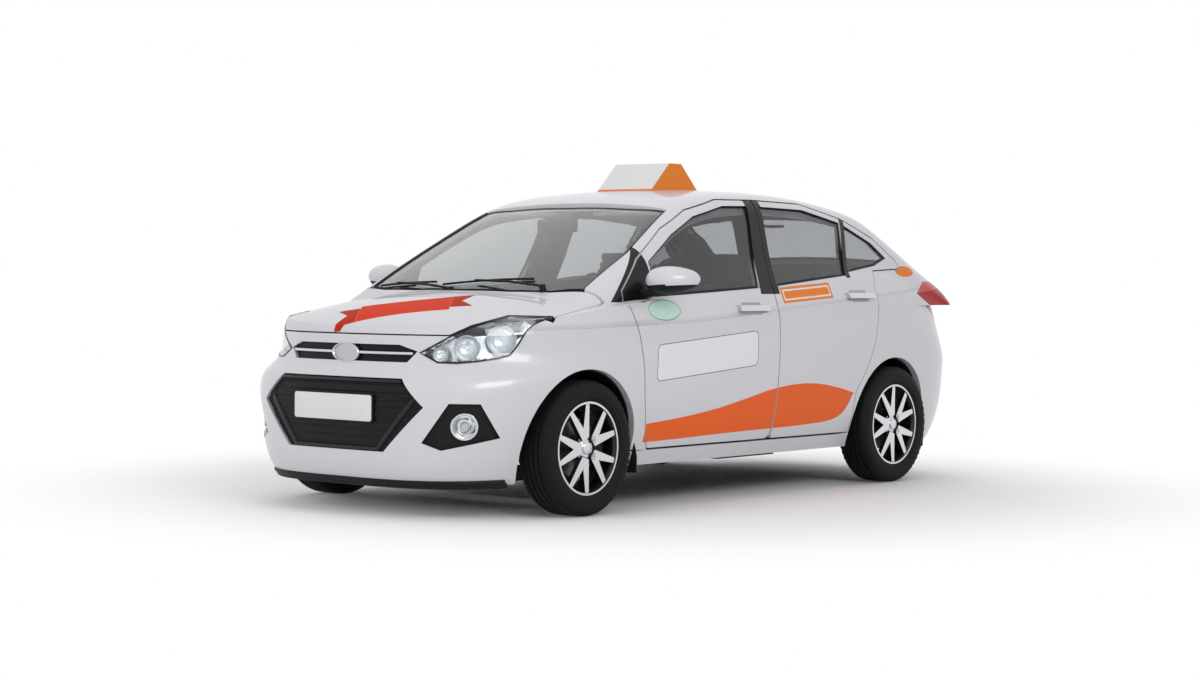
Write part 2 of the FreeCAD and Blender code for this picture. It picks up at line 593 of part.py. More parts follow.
# Doors with their window openings and panes.
front_panes = pane_prism(FRONT_PANE_SHARES, 0)
rear_panes = pane_prism(REAR_PANE_SHARES, 0).fuse(pane_prism(SMALL_PANE_SHARES, 0))
pane_band = house(size("glass_inset"), size("glass_inset")).cut(
    house(size("glass_inset") + size("glass_wall"), size("glass_inset") + size("glass_wall")))
pane_sets = {
    "front": (front_plug, front_panes, [pane_prism(FRONT_PANE_SHARES, seat)]),
    "rear": (rear_plug, rear_panes, [pane_prism(REAR_PANE_SHARES, seat),
                                     pane_prism(SMALL_PANE_SHARES, seat)]),
}
for place, (door_plug, openings, panes) in pane_sets.items():
    door = outer.common(door_plug).cut(cabin).cut(door_belt)
    door = biggest(door.cut([openings] + ([rear_arch] if place == "rear" else [])))
    glass = Part.makeCompound([pane_band.common(pane) for pane in panes])
    for side, turn in (("left", lambda shape: shape), ("right", mirrored)):
        keep("door_%s_%s" % (place, side), turn(door))
        keep("door_glass_%s_%s" % (place, side), turn(glass))

# Windscreen and rear window fill their openings as sheets.
screen = pane_band.common(screen_cut).cut(cowl_room)
rear_screen = pane_band.common(rear_screen_cut).cut(boot_room)
keep("windscreen", biggest(screen))
keep("rear_window", biggest(rear_screen))

# Lamps and grilles sit in the openings that were cut for them.
inset_in = tub(size("lamp_depth")).common(deck(size("lamp_depth")))
lamp = biggest(lower.common(lamp_cut).cut(inset_in))
fog_u, fog_z = -0.853 * half_width, 0.3575 * size("body_top")
fog_start = CORNER_ALONG * (LAMP_NEAR_SHARE * half_width) + CORNER_ACROSS * fog_u + V(0, 0, fog_z)
fog_hole = Part.makeCylinder(0.070 * half_width, 0.6 * half_width, fog_start, CORNER_ALONG)
fog_body = Part.makeCylinder(0.070 * half_width - seat, 0.6 * half_width, fog_start, CORNER_ALONG)
recess = tub(size("grille_inset")).cut(tub(size("grille_inset") + size("grille_wall")))
fog_lamp = biggest(recess.common(fog_body))
keep("front_lamps", Part.makeCompound([lamp, mirrored(lamp), fog_lamp, mirrored(fog_lamp)]))
bezel = biggest(recess.common(corner_cut(BEZEL_SHARES, 0)).cut(fog_hole))
lower_grille = biggest(recess.common(grille_cut(LOWER_GRILLE_SHARES, 0)))
upper_grille = biggest(recess.common(grille_cut(UPPER_GRILLE_SHARES, 0)).cut(
    [lamp_hole, mirrored(lamp_hole)]))
keep("grilles", Part.makeCompound([lower_grille, upper_grille, bezel, mirrored(bezel)]))
tail_lamp = biggest(outer.common(tail_lamp_cut).cut(hollow).cut(wide_back))
keep("tail_lamps", Part.makeCompound([tail_lamp, mirrored(tail_lamp)]))

# Sills under the doors and the pillar between them.
sill_box = Part.makeBox(front_axle - rear_axle, full, size("sill_top") - size("sill_foot"),
                        V(rear_axle, size("floor_width") / 2 + seat, size("sill_foot")))
sill = biggest(lower.common(sill_box).cut([front_arch, rear_arch, front_fender, rear_quarter]))
keep("sills", Part.makeCompound([sill, mirrored(sill)]))
gapped = size("door_wall") + size("pillar_gap")
gapped_frame = size("frame_wall") + size("pillar_gap")
roof_seat = size("frame_wall") + size("seat_gap")
pillar_out = tub(gapped).common(deck(gapped)).fuse(house(roof_seat, gapped_frame))
deeper = gapped + size("pillar_wall")
pillar_in = tub(deeper).common(deck(deeper)).fuse(house(roof_seat, gapped_frame + size("pillar_wall")))
B_PILLAR_SHARES = ((-0.025, 0.0), (-0.135, 0.0), (-0.110, 0.80), (-0.140, 1.30), (-0.060, 1.30),
                   (-0.030, 0.80))
above_sill = Part.makeBox(size("car_length"), full, size("roof_height"),
                          V(-half_length, half_width * 0.4, size("sill_top")))
pillar_band = side_prism(share_points(B_PILLAR_SHARES), half_width * 0.4, full).common(above_sill)
b_pillar = biggest(pillar_out.common(pillar_band).cut(pillar_in).cut(belt_room(deeper)))
keep("b_pillars", Part.makeCompound([b_pillar, mirrored(b_pillar)]))


def bound(formula):
    """Formula text with every size name pointing at the sheet."""
    return re.sub(r"[a-z][a-z_]+", lambda word: "Sizes." + word.group() if word.group() in SIZES
                  else word.group(), formula)


def place(piece, at, turn=(V(0, 0, 1), 0)):
    """Turn a piece about an axis, then bind its place to formulas."""
    piece.Placement = FreeCAD.Placement(V(0, 0, 0), FreeCAD.Rotation(*turn))
    for axis, formula in zip("xyz", at):
        piece.setExpression("Placement.Base." + axis, bound(formula))
    return piece


def block(name, length, width, height, at, turn=(V(0, 0, 1), 0)):
    piece = doc.addObject("Part::Box", name)
    for side, formula in (("Length", length), ("Width", width), ("Height", height)):
        piece.setExpression(side, bound(formula))
    return place(piece, at, turn)


def rod(name, radius, length, at, turn=(V(0, 0, 1), 0)):
    piece = doc.addObject("Part::Cylinder", name)
    piece.setExpression("Radius", bound(radius))
    piece.setExpression("Height", bound(length))
    return place(piece, at, turn)


def joined(name, pieces, node=True):
    piece = doc.addObject("Part::MultiFuse", name)
    piece.Shapes = pieces
    piece.Label = name
    if node:
        nodes.append(piece)
    return piece


def grouped(name, pieces):
    piece = doc.addObject("Part::Compound", name)
    piece.Links = pieces
    piece.Label = name
    nodes.append(piece)
    return piece


def cut_from(name, base, tool, node=False):
    piece = doc.addObject("Part::Cut", name)
    piece.Base, piece.Tool = base, tool
    piece.Label = name
    if node:
        nodes.append(piece)
    return piece


def flipped(name, source):
    """Mirror image of a piece in the centre plane."""
    piece = doc.addObject("Part::Mirroring", name)
    piece.Source = source
    piece.Normal = V(0, 1, 0)
    return piece


def profile(body, role, corners):
    """Closed sketch on one of the body's own planes; each corner is a pair of formulas."""
    sketch = body.newObject("Sketcher::SketchObject", body.Name + "_profile")
    plane = next(part for part in body.Origin.OriginFeatures if part.Role == role)
    sketch.AttachmentSupport = [(plane, "")]
    sketch.MapMode = "FlatFace"
    count = len(corners)
    start = [V(math.cos(math.tau * i / count), math.sin(math.tau * i / count), 0) for i in range(count)]
    for i in range(count):
        sketch.addGeometry(Part.LineSegment(start[i], start[(i + 1) % count]), False)
    for i in range(count):
        sketch.addConstraint(Sketcher.Constraint("Coincident", i, 2, (i + 1) % count, 1))
    for i, pair in enumerate(corners):
        for kind, axis, formula in (("DistanceX", -2, pair[0]), ("DistanceY", -1, pair[1])):
            if formula == "0":
                sketch.addConstraint(Sketcher.Constraint("PointOnObject", i, 1, axis))
            else:
                spot = sketch.addConstraint(Sketcher.Constraint(kind, -1, 1, i, 1, 1.0))
                sketch.setExpression("Constraints[%d]" % spot, bound(formula))
    return sketch


def revolved(body, sketch):
    feature = body.newObject("PartDesign::Revolution", body.Name + "_turned")
    feature.Profile = sketch
    feature.ReferenceAxis = (sketch, ["V_Axis"])
    feature.Angle = 360
    return feature


SIDEWAYS = {"left": (V(1, 0, 0), -90), "right": (V(1, 0, 0), 90)}
WHEEL_PLACES = {
    "front_left": ("car_length / 2 - front_overhang", "front_track / 2", "left"),
    "front_right": ("car_length / 2 - front_overhang", "-front_track / 2", "right"),
    "rear_left": ("car_length / 2 - front_overhang - wheel_base", "rear_track / 2", "left"),
    "rear_right": ("car_length / 2 - front_overhang - wheel_base", "-rear_track / 2", "right"),
}
TYRE_CORNERS = (
    ("rim_radius - rim_wall / 3", "-rim_width / 2 + rim_wall + seat_gap"), ("tyre_radius * 0.84", "-tyre_width / 2"),
    ("tyre_radius * 0.955", "-tyre_width * 0.46"), ("tyre_radius", "-tyre_width * 0.36"),
    ("tyre_radius", "tyre_width * 0.36"), ("tyre_radius * 0.955", "tyre_width * 0.46"),
    ("tyre_radius * 0.84", "tyre_width / 2"), ("rim_radius - rim_wall / 3", "rim_width / 2 - rim_wall - seat_gap"),
)
HUB_CORNERS = (
    ("hub_bore", "-disc_offset - disc_wall / 2 - disc_wall"), ("hub_radius", "-disc_offset - disc_wall / 2 - disc_wall"),
    ("hub_radius", "-disc_offset - disc_wall / 2"), ("disc_radius", "-disc_offset - disc_wall / 2"),
    ("disc_radius", "disc_wall / 2 - disc_offset"), ("hub_radius", "disc_wall / 2 - disc_offset"),
    ("hub_radius", "rim_width / 2 - spoke_depth"), ("hub_radius * 0.6", "rim_width / 2 - spoke_depth / 2"),
    ("0", "rim_width / 2 - spoke_depth / 2"), ("0", "disc_wall"), ("hub_bore", "disc_wall"),
)
RIM_CORNERS = (
    ("rim_radius - rim_wall / 3 - seat_gap", "-rim_width / 2 + rim_wall"), ("rim_radius", "-rim_width / 2"),
    ("rim_radius - rim_wall", "-rim_width / 2"), ("rim_radius - rim_wall * 2", "-rim_width / 2 + rim_wall * 2"),
    ("rim_radius - rim_wall * 2", "rim_width / 2 - rim_wall * 2"), ("rim_radius - rim_wall", "rim_width / 2"),
    ("rim_radius", "rim_width / 2"), ("rim_radius - rim_wall / 3 - seat_gap", "rim_width / 2 - rim_wall"),
)
SPOKE_CORNERS = (
    ("hub_radius * 0.7", "-spoke_width * 1.3"), ("rim_radius * 0.915", "-spoke_width * 4.1"),
    ("rim_radius * 0.95", "-spoke_width * 2.9"), ("hub_radius * 1.5", "0"),
    ("rim_radius * 0.95", "spoke_width * 2.9"), ("rim_radius * 0.915", "spoke_width * 4.1"),
    ("hub_radius * 0.7", "spoke_width * 1.3"),
)


def tyre(name, x, y, side):
    body = doc.addObject("PartDesign::Body", "tyre_" + name)
    revolved(body, profile(body, "XZ_Plane", TYRE_CORNERS))
    nodes.append(place(body, (x, y, "tyre_radius"), SIDEWAYS[side]))


def rim(name, x, y, side):
    """Rim with five double spokes, its hub and the brake disc bolted to it."""
    body = doc.addObject("PartDesign::Body", "rim_" + name)
    revolved(body, profile(body, "XZ_Plane", HUB_CORNERS))
    spoke = body.newObject("PartDesign::Pad", body.Name + "_spoke")
    spoke.Profile = profile(body, "XY_Plane", SPOKE_CORNERS)
    spoke.Profile[0].setExpression("AttachmentOffset.Base.z",
                                   bound("rim_width / 2 - spoke_depth * 1.2"))
    spoke.setExpression("Length", bound("spoke_depth"))
    doc.recompute()
    spokes = body.newObject("PartDesign::PolarPattern", body.Name + "_spokes")
    spokes.Originals = [spoke]
    spokes.Axis = (spoke.Profile[0], ["N_Axis"])
    spokes.Angle = 360
    spokes.Occurrences = 5
    body.Tip = spokes
    revolved(body, profile(body, "XZ_Plane", RIM_CORNERS))
    nodes.append(place(body, (x, y, "tyre_radius"), SIDEWAYS[side]))


for name, (x, y, side) in WHEEL_PLACES.items():
    tyre(name, x, y, side)
    rim(name, x, y, side)
doc.recompute()

# Steering knuckles: upright and strut on the leaning kingpin axis, stub axle, brake caliper.
PIN_Y = "(front_track / 2 - kingpin_offset)"
AXLE_X = "(car_length / 2 - front_overhang)"
lean_turn = (V(1, 0, 0), size("kingpin_lean"))
PIN_FOOT_Y = PIN_Y + " + tyre_radius * 0.37 * tan(kingpin_lean * 1deg)"
upright = rod("upright", "upright_radius", "upright_height",
              (AXLE_X, PIN_FOOT_Y, "tyre_radius * 0.63"), lean_turn)
strut = rod("strut", "strut_radius", "(strut_top - tyre_radius * 0.63) / cos(kingpin_lean * 1deg)",
            (AXLE_X, PIN_FOOT_Y, "tyre_radius * 0.63"), lean_turn)
stub = rod("stub_axle", "hub_bore - seat_gap", "kingpin_offset + disc_wall - seat_gap",
           (AXLE_X, PIN_Y, "tyre_radius"), SIDEWAYS["left"])
arm_out = block("caliper_arm", "disc_radius * 0.9", "disc_wall", "upright_radius * 1.4",
                (AXLE_X + " - disc_radius * 0.9", "front_track / 2 - disc_offset - disc_wall * 2.5 - shut_gap",
                 "tyre_radius - upright_radius * 0.7"))
caliper_block = block("caliper_block", "disc_radius * 0.42", "disc_wall * 3.5", "disc_radius * 0.72",
                      (AXLE_X + " - disc_radius * 1.26",
                       "front_track / 2 - disc_offset - disc_wall * 2.2",
                       "tyre_radius - disc_radius * 0.36"))
disc_room = rod("disc_room", "disc_radius + shut_gap", "disc_wall + 2 * shut_gap",
                (AXLE_X, "front_track / 2 - disc_offset - disc_wall / 2 - shut_gap", "tyre_radius"),
                SIDEWAYS["left"])
caliper = cut_from("caliper", caliper_block, disc_room)
knuckle = joined("knuckle_left", [upright, strut, stub, arm_out, caliper])
nodes.append(flipped("knuckle_right", knuckle))

# Front subframe with the lower arms that carry the knuckles, and the drive shafts.
ARM_Z = "tyre_radius * 0.63 - upright_radius * sin(kingpin_lean * 1deg) - arm_wall - seat_gap"
subframe = block("subframe", "subframe_length", "2 * liner_reach", "subframe_wall",
                 (AXLE_X + " - subframe_length * 0.62", "-liner_reach", ARM_Z + " - subframe_wall / 2"))
ARM_REACH = "(front_track / 2 - kingpin_offset + upright_radius * 1.6)"
arm = block("lower_arm", "arm_width", "2 * " + ARM_REACH, "arm_wall",
            (AXLE_X + " - arm_width / 2", "-" + ARM_REACH, ARM_Z))
shaft_reach = "(" + PIN_Y + " - upright_radius - shut_gap)"
shaft = rod("drive_shafts", "pipe_radius * 0.7", "2 * " + shaft_reach,
            (AXLE_X, "-" + shaft_reach, "tyre_radius"), SIDEWAYS["left"])
gearbox = block("gearbox", "subframe_length * 0.8", "engine_width * 0.5",
                "engine_foot - seat_gap - (" + ARM_Z + " + subframe_wall / 2)",
                (AXLE_X + " - subframe_length * 0.4", "-engine_width * 0.35",
                 ARM_Z + " + subframe_wall / 2"))
joined("front_suspension", [subframe, arm, shaft, gearbox])

# Engine: one plain block at its real place and size.
nodes.append(block("engine_block", "engine_length", "engine_width", "engine_height",
                   ("engine_front - engine_length", "-engine_width / 2", "engine_foot")))

# Rear axle: torsion beam, trailing arms and stub axles.
REAR_X = "(car_length / 2 - front_overhang - wheel_base)"
TRAIL_Y = "(rear_track / 2 - tyre_width / 2 - arm_width - 3 * shut_gap)"
beam = rod("torsion_beam", "beam_radius", "2 * " + TRAIL_Y,
           (REAR_X + " + tyre_radius * 0.6", "-" + TRAIL_Y, "tyre_radius"), SIDEWAYS["left"])
axle_parts = [beam]
for side, sign, start in (("left", "", TRAIL_Y), ("right", "-", "-arm_width - " + TRAIL_Y)):
    trailing = block("trailing_arm_" + side, "-boot_floor_front - seat_gap + arm_width / 2 - " + REAR_X,
                     "arm_width", "arm_wall * 1.6",
                     (REAR_X + " - arm_width / 2", start, "tyre_radius - arm_wall * 0.8"))
    stub = rod("rear_stub_" + side, "hub_bore - seat_gap",
               "rear_track / 2 + disc_wall - seat_gap - " + TRAIL_Y + " - arm_width / 2",
               (REAR_X, sign + "(" + TRAIL_Y + " + arm_width / 2)", "tyre_radius"), SIDEWAYS[side])
    axle_parts += [trailing, stub]
joined("rear_axle", axle_parts)
doc.recompute()


# Floor with its boot step, the firewall, and the panel and shelf behind the rear seat.
floor = block("floor_plate", "floor_front + boot_floor_front", "floor_width", "floor_wall",
              ("-boot_floor_front", "-floor_width / 2", "floor_height - floor_wall"))
BOOT_WIDTH = "(car_width - 2 * liner_reach - 2 * liner_wall)"
step = block("boot_step", "floor_wall", "floor_width", "boot_floor - floor_height",
             ("-boot_floor_front", "-floor_width / 2", "floor_height"))
boot_floor = block("boot_floor_plate", "floor_back - boot_floor_front", BOOT_WIDTH, "floor_wall",
                   ("-floor_back", "-" + BOOT_WIDTH + " / 2", "boot_floor - floor_wall"))
joined("floor_pan", [floor, step, boot_floor])
nodes.append(block("firewall", "firewall_wall", "firewall_width", "firewall_top - floor_height",
                   ("floor_front - firewall_wall", "-firewall_width / 2", "floor_height + seat_gap")))
SHELF_WIDTH = "(floor_width * 0.86)"
PANEL_BACK = "(-bench_front - bench_length - back_height * 0.86 * sin(back_lean * 1deg) - floor_wall)"
back_panel = block("back_panel", "floor_wall", BOOT_WIDTH, "shelf_height - boot_floor - seat_gap",
                   (PANEL_BACK, "-" + BOOT_WIDTH + " / 2", "boot_floor + seat_gap"))
shelf = block("shelf", "shelf_length", SHELF_WIDTH, "floor_wall",
              (PANEL_BACK + " - shelf_length + floor_wall", "-" + SHELF_WIDTH + " / 2",
               "shelf_height - floor_wall"))
doc.recompute()
shelf_end = shelf.Shape.BoundBox.XMin
lid_bracket = pin_bracket("boot", [(shelf_end + size("hinge_arm"), size("shelf_height")),
                                   (shelf_end, size("shelf_height") - size("floor_wall"))])
keep("rear_bulkhead", shelf.Shape.fuse([back_panel.Shape, lid_bracket, mirrored(lid_bracket)]))

# Dashboard with the steering column.
dash = block("dash_body", "dash_depth", "dash_width", "dash_height",
             ("dash_front - firewall_wall - dash_depth", "-dash_width / 2", "dash_top - dash_height"))
LEAN_TURN = (V(0, 1, 0), -(90 - size("steer_wheel_lean")))
column = rod("column", "column_radius", "column_length",
             ("steer_wheel_front + column_length * cos(steer_wheel_lean * 1deg)", "seat_pitch / 2",
              "steer_wheel_height - column_length * sin(steer_wheel_lean * 1deg)"), LEAN_TURN)
joined("dashboard", [dash, column])

# Steering wheel: rim, hub and three spokes on the column's axis.
grip = doc.addObject("Part::Torus", "grip")
grip.setExpression("Radius1", bound("steer_wheel_radius"))
grip.setExpression("Radius2", bound("steer_wheel_grip"))
hub = rod("steer_hub", "column_radius * 2", "steer_wheel_grip * 3", ("0", "0", "-steer_wheel_grip * 1.5"))
spokes = [block("steer_spoke_%d" % i, "steer_wheel_radius", "steer_wheel_grip * 2", "steer_wheel_grip",
                ("0", "0", "-steer_wheel_grip / 2"), (V(0, 0, 1), turn))
          for i, turn in enumerate((0, 90, 180))]
hand_wheel = joined("steering_wheel", [grip, hub] + spokes)
place(hand_wheel, ("steer_wheel_front - (steer_wheel_grip * 1.5 + seat_gap) * cos(steer_wheel_lean * 1deg)",
                   "seat_pitch / 2",
                   "steer_wheel_height + (steer_wheel_grip * 1.5 + seat_gap) * sin(steer_wheel_lean * 1deg)"),
      LEAN_TURN)

# Seats: plain solids of the true size and place.
bases, cushions, backs, rests = [], [], [], []
BACK_TURN = (V(0, 1, 0), -size("back_lean"))
BACK_X = "front_seat_front - seat_length - seat_gap - back_wall * cos(back_lean * 1deg)"
REST_UP = "(back_height + seat_gap)"
for side, sign in (("left", ""), ("right", "-")):
    middle = "(" + sign + "seat_pitch / 2)"
    bases.append(block("seat_base_" + side, "seat_length * 0.8", "seat_width * 0.8",
                       "seat_foot - floor_height",
                       ("front_seat_front - seat_length * 0.9", middle + " - seat_width * 0.4",
                        "floor_height")))
    cushions.append(block("seat_cushion_" + side, "seat_length", "seat_width", "seat_height",
                          ("front_seat_front - seat_length", middle + " - seat_width / 2",
                           "seat_foot + seat_gap")))
    backs.append(block("seat_back_" + side, "back_wall", "seat_width", "back_height",
                       (BACK_X, middle + " - seat_width / 2", "seat_foot + seat_height / 2"), BACK_TURN))
    rests.append(block("head_rest_" + side, "rest_wall", "rest_width", "rest_height",
                       (BACK_X + " - " + REST_UP + " * sin(back_lean * 1deg)", middle + " - rest_width / 2",
                        "seat_foot + seat_height / 2 + " + REST_UP + " * cos(back_lean * 1deg)"), BACK_TURN))
grouped("seat_bases", bases)
grouped("seat_cushions", cushions)
grouped("seat_backs", backs)
grouped("head_rests", rests)
bench = block("rear_bench", "bench_length", "bench_width",
              "seat_foot + seat_height - floor_height - seat_gap",
              ("-bench_front - bench_length", "-bench_width / 2", "floor_height + seat_gap"))
nodes.append(bench)
rear_back = block("rear_seat_back", "back_wall", "bench_width * 0.86", "back_height * 0.86",
                  ("-bench_front - bench_length", "-bench_width * 0.43",
                   "seat_foot + seat_height + seat_gap"), (V(0, 1, 0), -size("back_lean")))
nodes.append(rear_back)

# Fuel tank under the rear bench and the exhaust.
nodes.append(block("fuel_tank", "tank_length", "tank_width", "tank_height * 0.4",
                   ("-bench_front - tank_length", "-tank_width / 2",
                    "floor_height - floor_wall - seat_gap - tank_height * 0.4")))
pipe = rod("pipe", "pipe_radius", "car_length * 0.55",
           ("-car_length / 2 + silencer_length * 0.4", "-tank_width / 2 - pipe_radius * 2",
            "floor_height - floor_wall - pipe_radius - seat_gap"), (V(0, 1, 0), 90))
silencer = rod("silencer", "silencer_radius", "silencer_length",
               ("-car_length / 2 + silencer_length * 0.5", "-tank_width / 2 - pipe_radius * 2",
                "boot_floor - floor_wall - silencer_radius - seat_gap"), (V(0, 1, 0), 90))
riser = block("pipe_riser", "pipe_radius * 2", "pipe_radius * 2", "boot_floor - floor_height",
              ("-car_length / 2 + silencer_length * 0.9", "-tank_width / 2 - pipe_radius * 3",
               "floor_height - floor_wall - pipe_radius - seat_gap"))
joined("exhaust", [pipe, silencer, riser])
doc.recompute()

# Liners in the wheel arches, with the mud flaps behind the wheels.
liner_parts = []
for at, outer_skin in ((front_axle, front_fender), (rear_axle, rear_quarter)):
    tube = arch(at, size("arch_radius")).cut(arch(at, size("arch_radius") - size("liner_wall")))
    top = Part.makeBox(2 * size("arch_radius"), full, 2 * size("arch_radius"),
                       V(at - size("arch_radius"), 0, size("sill_top")))
    liner = biggest(tube.common(top).common(tub(size("skin_wall") + size("seat_gap"))))
    liner_parts.append(liner)
lean = math.radians(size("kingpin_lean"))
pin_y = size("front_track") / 2 - size("kingpin_offset")
strut_room = Part.makeCylinder(size("strut_radius") + gap, size("roof_height"),
                               V(front_axle, pin_y, size("tyre_radius")),
                               V(0, -math.sin(lean), math.cos(lean)))
liner_parts[0] = liner_parts[0].cut(strut_room)
arm_box = trailing.Shape.BoundBox
arm_room = Part.makeBox(arm_box.XLength + 2 * gap, arm_box.YLength + 2 * gap, arm_box.ZMax + gap,
                        V(arm_box.XMin, -arm_box.YMax - gap, 0))
liner_parts[1] = liner_parts[1].cut(arm_room)
keep("wheel_liners", Part.makeCompound([side(liner) for liner in liner_parts
                                        for side in (lambda shape: shape, mirrored)]))

# Front frame: a rail on each side of the engine from the firewall to the bumper's beam, with
# the towers over the struts and the bonnet's hinge pins.
rail_in = size("engine_width") / 2 + seat
rail_start = size("floor_front") + seat
beam_out, beam_in = size("skin_wall") + seat, size("skin_wall") + seat + size("beam_wall")
nose_inner = tub(beam_out)
rail = Part.makeBox(half_length, size("rail_wall"), size("rail_wall"),
                    V(rail_start, rail_in, size("rail_foot"))).common(nose_inner)
beam = Part.makeBox(half_length, 2 * size("beam_reach"), size("rail_wall"),
                    V(front_axle + size("arch_radius"), -size("beam_reach"), size("rail_foot")))
beam = beam.common(nose_inner).cut(tub(beam_in))
tower_top = size("strut_top") + size("strut_radius") * math.sin(lean) + seat
tower_out = pin_y + size("strut_radius")
tower_start = front_axle - size("tower_length") / 2
tower_wall = Part.makeBox(size("tower_length"), size("tower_wall"), tower_top - size("rail_foot"),
                          V(tower_start, rail_in + size("rail_wall") - size("tower_wall"),
                            size("rail_foot")))
tower_cap = Part.makeBox(size("tower_length"), tower_out - rail_in - size("rail_wall") + size("tower_wall"),
                         size("tower_wall"), V(tower_start, rail_in + size("rail_wall") - size("tower_wall"),
                                               tower_top))
bracket = pin_bracket("bonnet", [(tower_start + size("tower_wall"), tower_top - size("tower_wall")),
                                 (tower_start, tower_top - 2 * size("tower_wall"))])
frame_half = [rail, tower_wall, tower_cap, bracket]
keep("front_frame", beam.fuse(frame_half + [mirrored(shape) for shape in frame_half]))

# Roof sign: a prism with a level ridge on a thin foot.
foot, ridge = size("sign_foot_length") / 2, size("sign_top_length") / 2
sign_foot = size("roof_height") - size("skin_wall")
at = size("sign_place")
sign = side_prism(((at - foot, sign_foot), (at + foot, sign_foot), (at + ridge, size("sign_top")),
                   (at - ridge, size("sign_top"))), -size("sign_width") / 2, size("sign_width") / 2)
keep("taxi_sign", sign.cut(house(-seat, -seat)))

# Door mirrors on their stems, and the door handles.
mirror_x, mirror_z = 0.425 * half_length, 0.905 * size("body_top")
mirror_y = half_width * 0.985
shell_round = FreeCAD.Matrix()
shell_round.scale(V(size("mirror_depth"), size("mirror_width") * 0.62, size("mirror_height") * 0.60))
shell_round.move(V(mirror_x, mirror_y + size("mirror_width") / 2, mirror_z))
housing = Part.makeSphere(1).transformGeometry(shell_round)
housing = housing.common(Part.makeBox(size("mirror_depth"), size("mirror_width"), size("mirror_height"),
                                      V(mirror_x, mirror_y, mirror_z - size("mirror_height") / 2)))
stem = side_prism(((mirror_x + size("mirror_depth") * 0.15, mirror_z - size("mirror_height") * 0.50),
                   (mirror_x + size("mirror_depth") * 0.80, mirror_z - size("mirror_height") * 0.42),
                   (mirror_x + size("mirror_depth") * 0.60, mirror_z - size("mirror_height") * 0.15),
                   (mirror_x + size("mirror_depth") * 0.15, mirror_z - size("mirror_height") * 0.10)),
                  half_width * 0.85, mirror_y + size("mirror_width") * 0.35)
mirror = biggest(housing.fuse(stem).cut(outer))
for side, turn in (("left", lambda shape: shape), ("right", mirrored)):
    keep("mirror_" + side, turn(mirror))
HANDLE_SHARES = {"front": (0.0370, 0.792), "rear": (-0.4270, 0.843)}
for place_name, (share_x, share_z) in HANDLE_SHARES.items():
    x, z = share_x * half_length, share_z * size("body_top")
    bar = Part.makeBox(size("handle_length"), half_width, size("handle_height"),
                       V(x - size("handle_length") / 2, half_width * 0.8, z - size("handle_height") / 2))
    swell = tub(-size("handle_reach")).cut(tub(-size("seat_gap")))
    handle = biggest(bar.common(swell))
    for side, turn in (("left", lambda shape: shape), ("right", mirrored)):
        keep("handle_%s_%s" % (place_name, side), turn(handle))

problems = [piece.Name for piece in doc.Objects if "Invalid" in piece.State or "Error" in piece.State]
problems += [piece.Label for piece in nodes if piece.Shape.isNull() or not piece.Shape.isValid()]
if problems:
    raise RuntimeError("pieces that failed: " + ", ".join(problems))
os.makedirs("parts", exist_ok=True)
for piece in nodes:
    piece.Shape.exportStep("parts/%s.step" % piece.Label)
print(len(nodes), "pieces written")
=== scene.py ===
# %% [markdown]
# # A small taxi saloon
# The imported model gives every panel, wheel and seat its shape and place. This script dresses it:
# it adds a camera, light, materials and the fine pieces that a solid model leaves out.

# %% Load the frame
import math
from functools import partialmethod

import bmesh
import bpy
from mathutils import Matrix, Vector
from mathutils.bvhtree import BVHTree


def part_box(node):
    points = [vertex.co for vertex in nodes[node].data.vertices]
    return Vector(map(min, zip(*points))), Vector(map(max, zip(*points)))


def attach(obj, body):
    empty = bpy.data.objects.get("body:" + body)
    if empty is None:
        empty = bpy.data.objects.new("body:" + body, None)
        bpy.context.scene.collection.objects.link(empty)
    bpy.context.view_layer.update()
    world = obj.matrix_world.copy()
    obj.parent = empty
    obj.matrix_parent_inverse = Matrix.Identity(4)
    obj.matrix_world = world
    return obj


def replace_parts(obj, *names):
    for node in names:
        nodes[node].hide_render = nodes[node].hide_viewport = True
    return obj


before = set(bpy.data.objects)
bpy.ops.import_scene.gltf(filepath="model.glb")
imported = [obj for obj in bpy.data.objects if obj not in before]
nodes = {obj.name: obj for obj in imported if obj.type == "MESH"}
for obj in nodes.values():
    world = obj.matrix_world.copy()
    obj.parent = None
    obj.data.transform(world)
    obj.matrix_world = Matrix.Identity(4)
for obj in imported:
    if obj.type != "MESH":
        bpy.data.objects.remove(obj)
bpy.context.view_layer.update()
print("pieces in the frame:", len(nodes))

# %% [markdown]
# ## Camera
# The photograph is taken from ahead of the driver's front corner, at about head height and with a
# long lens, so lines that recede stay nearly parallel. Three angles say where the lens looks:
# round the car, up or down, and a slight roll.

# %% Camera
CAMERA_AT = Vector((9.02, 7.30, 1.05))
AROUND, ABOVE, ROLL = (math.radians(angle) for angle in (39.64, 1.56, 0.53))
SENSOR = 36.0
FOCAL_PIXELS, PHOTO_WIDTH = 2348.0, 1200.0

back = Vector((math.cos(AROUND) * math.cos(ABOVE), math.sin(AROUND) * math.cos(ABOVE),
               math.sin(ABOVE)))
level = (-back).cross(Vector((0, 0, 1))).normalized()
upright = level.cross(-back)
right = level * math.cos(ROLL) + upright * math.sin(ROLL)
camera_data = bpy.data.cameras.new("camera")
camera_data.sensor_width = SENSOR
camera_data.lens = FOCAL_PIXELS / PHOTO_WIDTH * SENSOR
camera = bpy.data.objects.new("camera", camera_data)
bpy.context.scene.collection.objects.link(camera)
turn = Matrix((right, back.cross(right), back)).transposed().to_4x4()
camera.matrix_world = Matrix.Translation(CAMERA_AT) @ turn
bpy.context.scene.camera = camera
print("lens in mm:", round(camera_data.lens, 1))

# %% [markdown]
# ## Floor, backdrop and light
# A studio car is lit by large soft panels, because paint shows whatever it mirrors. One plane is
# the floor. The world is white to the camera and to mirrors, and gives the object a milder light.

# %% Floor and light
scene = bpy.context.scene
scene.view_settings.view_transform = "Standard"
collection = scene.collection


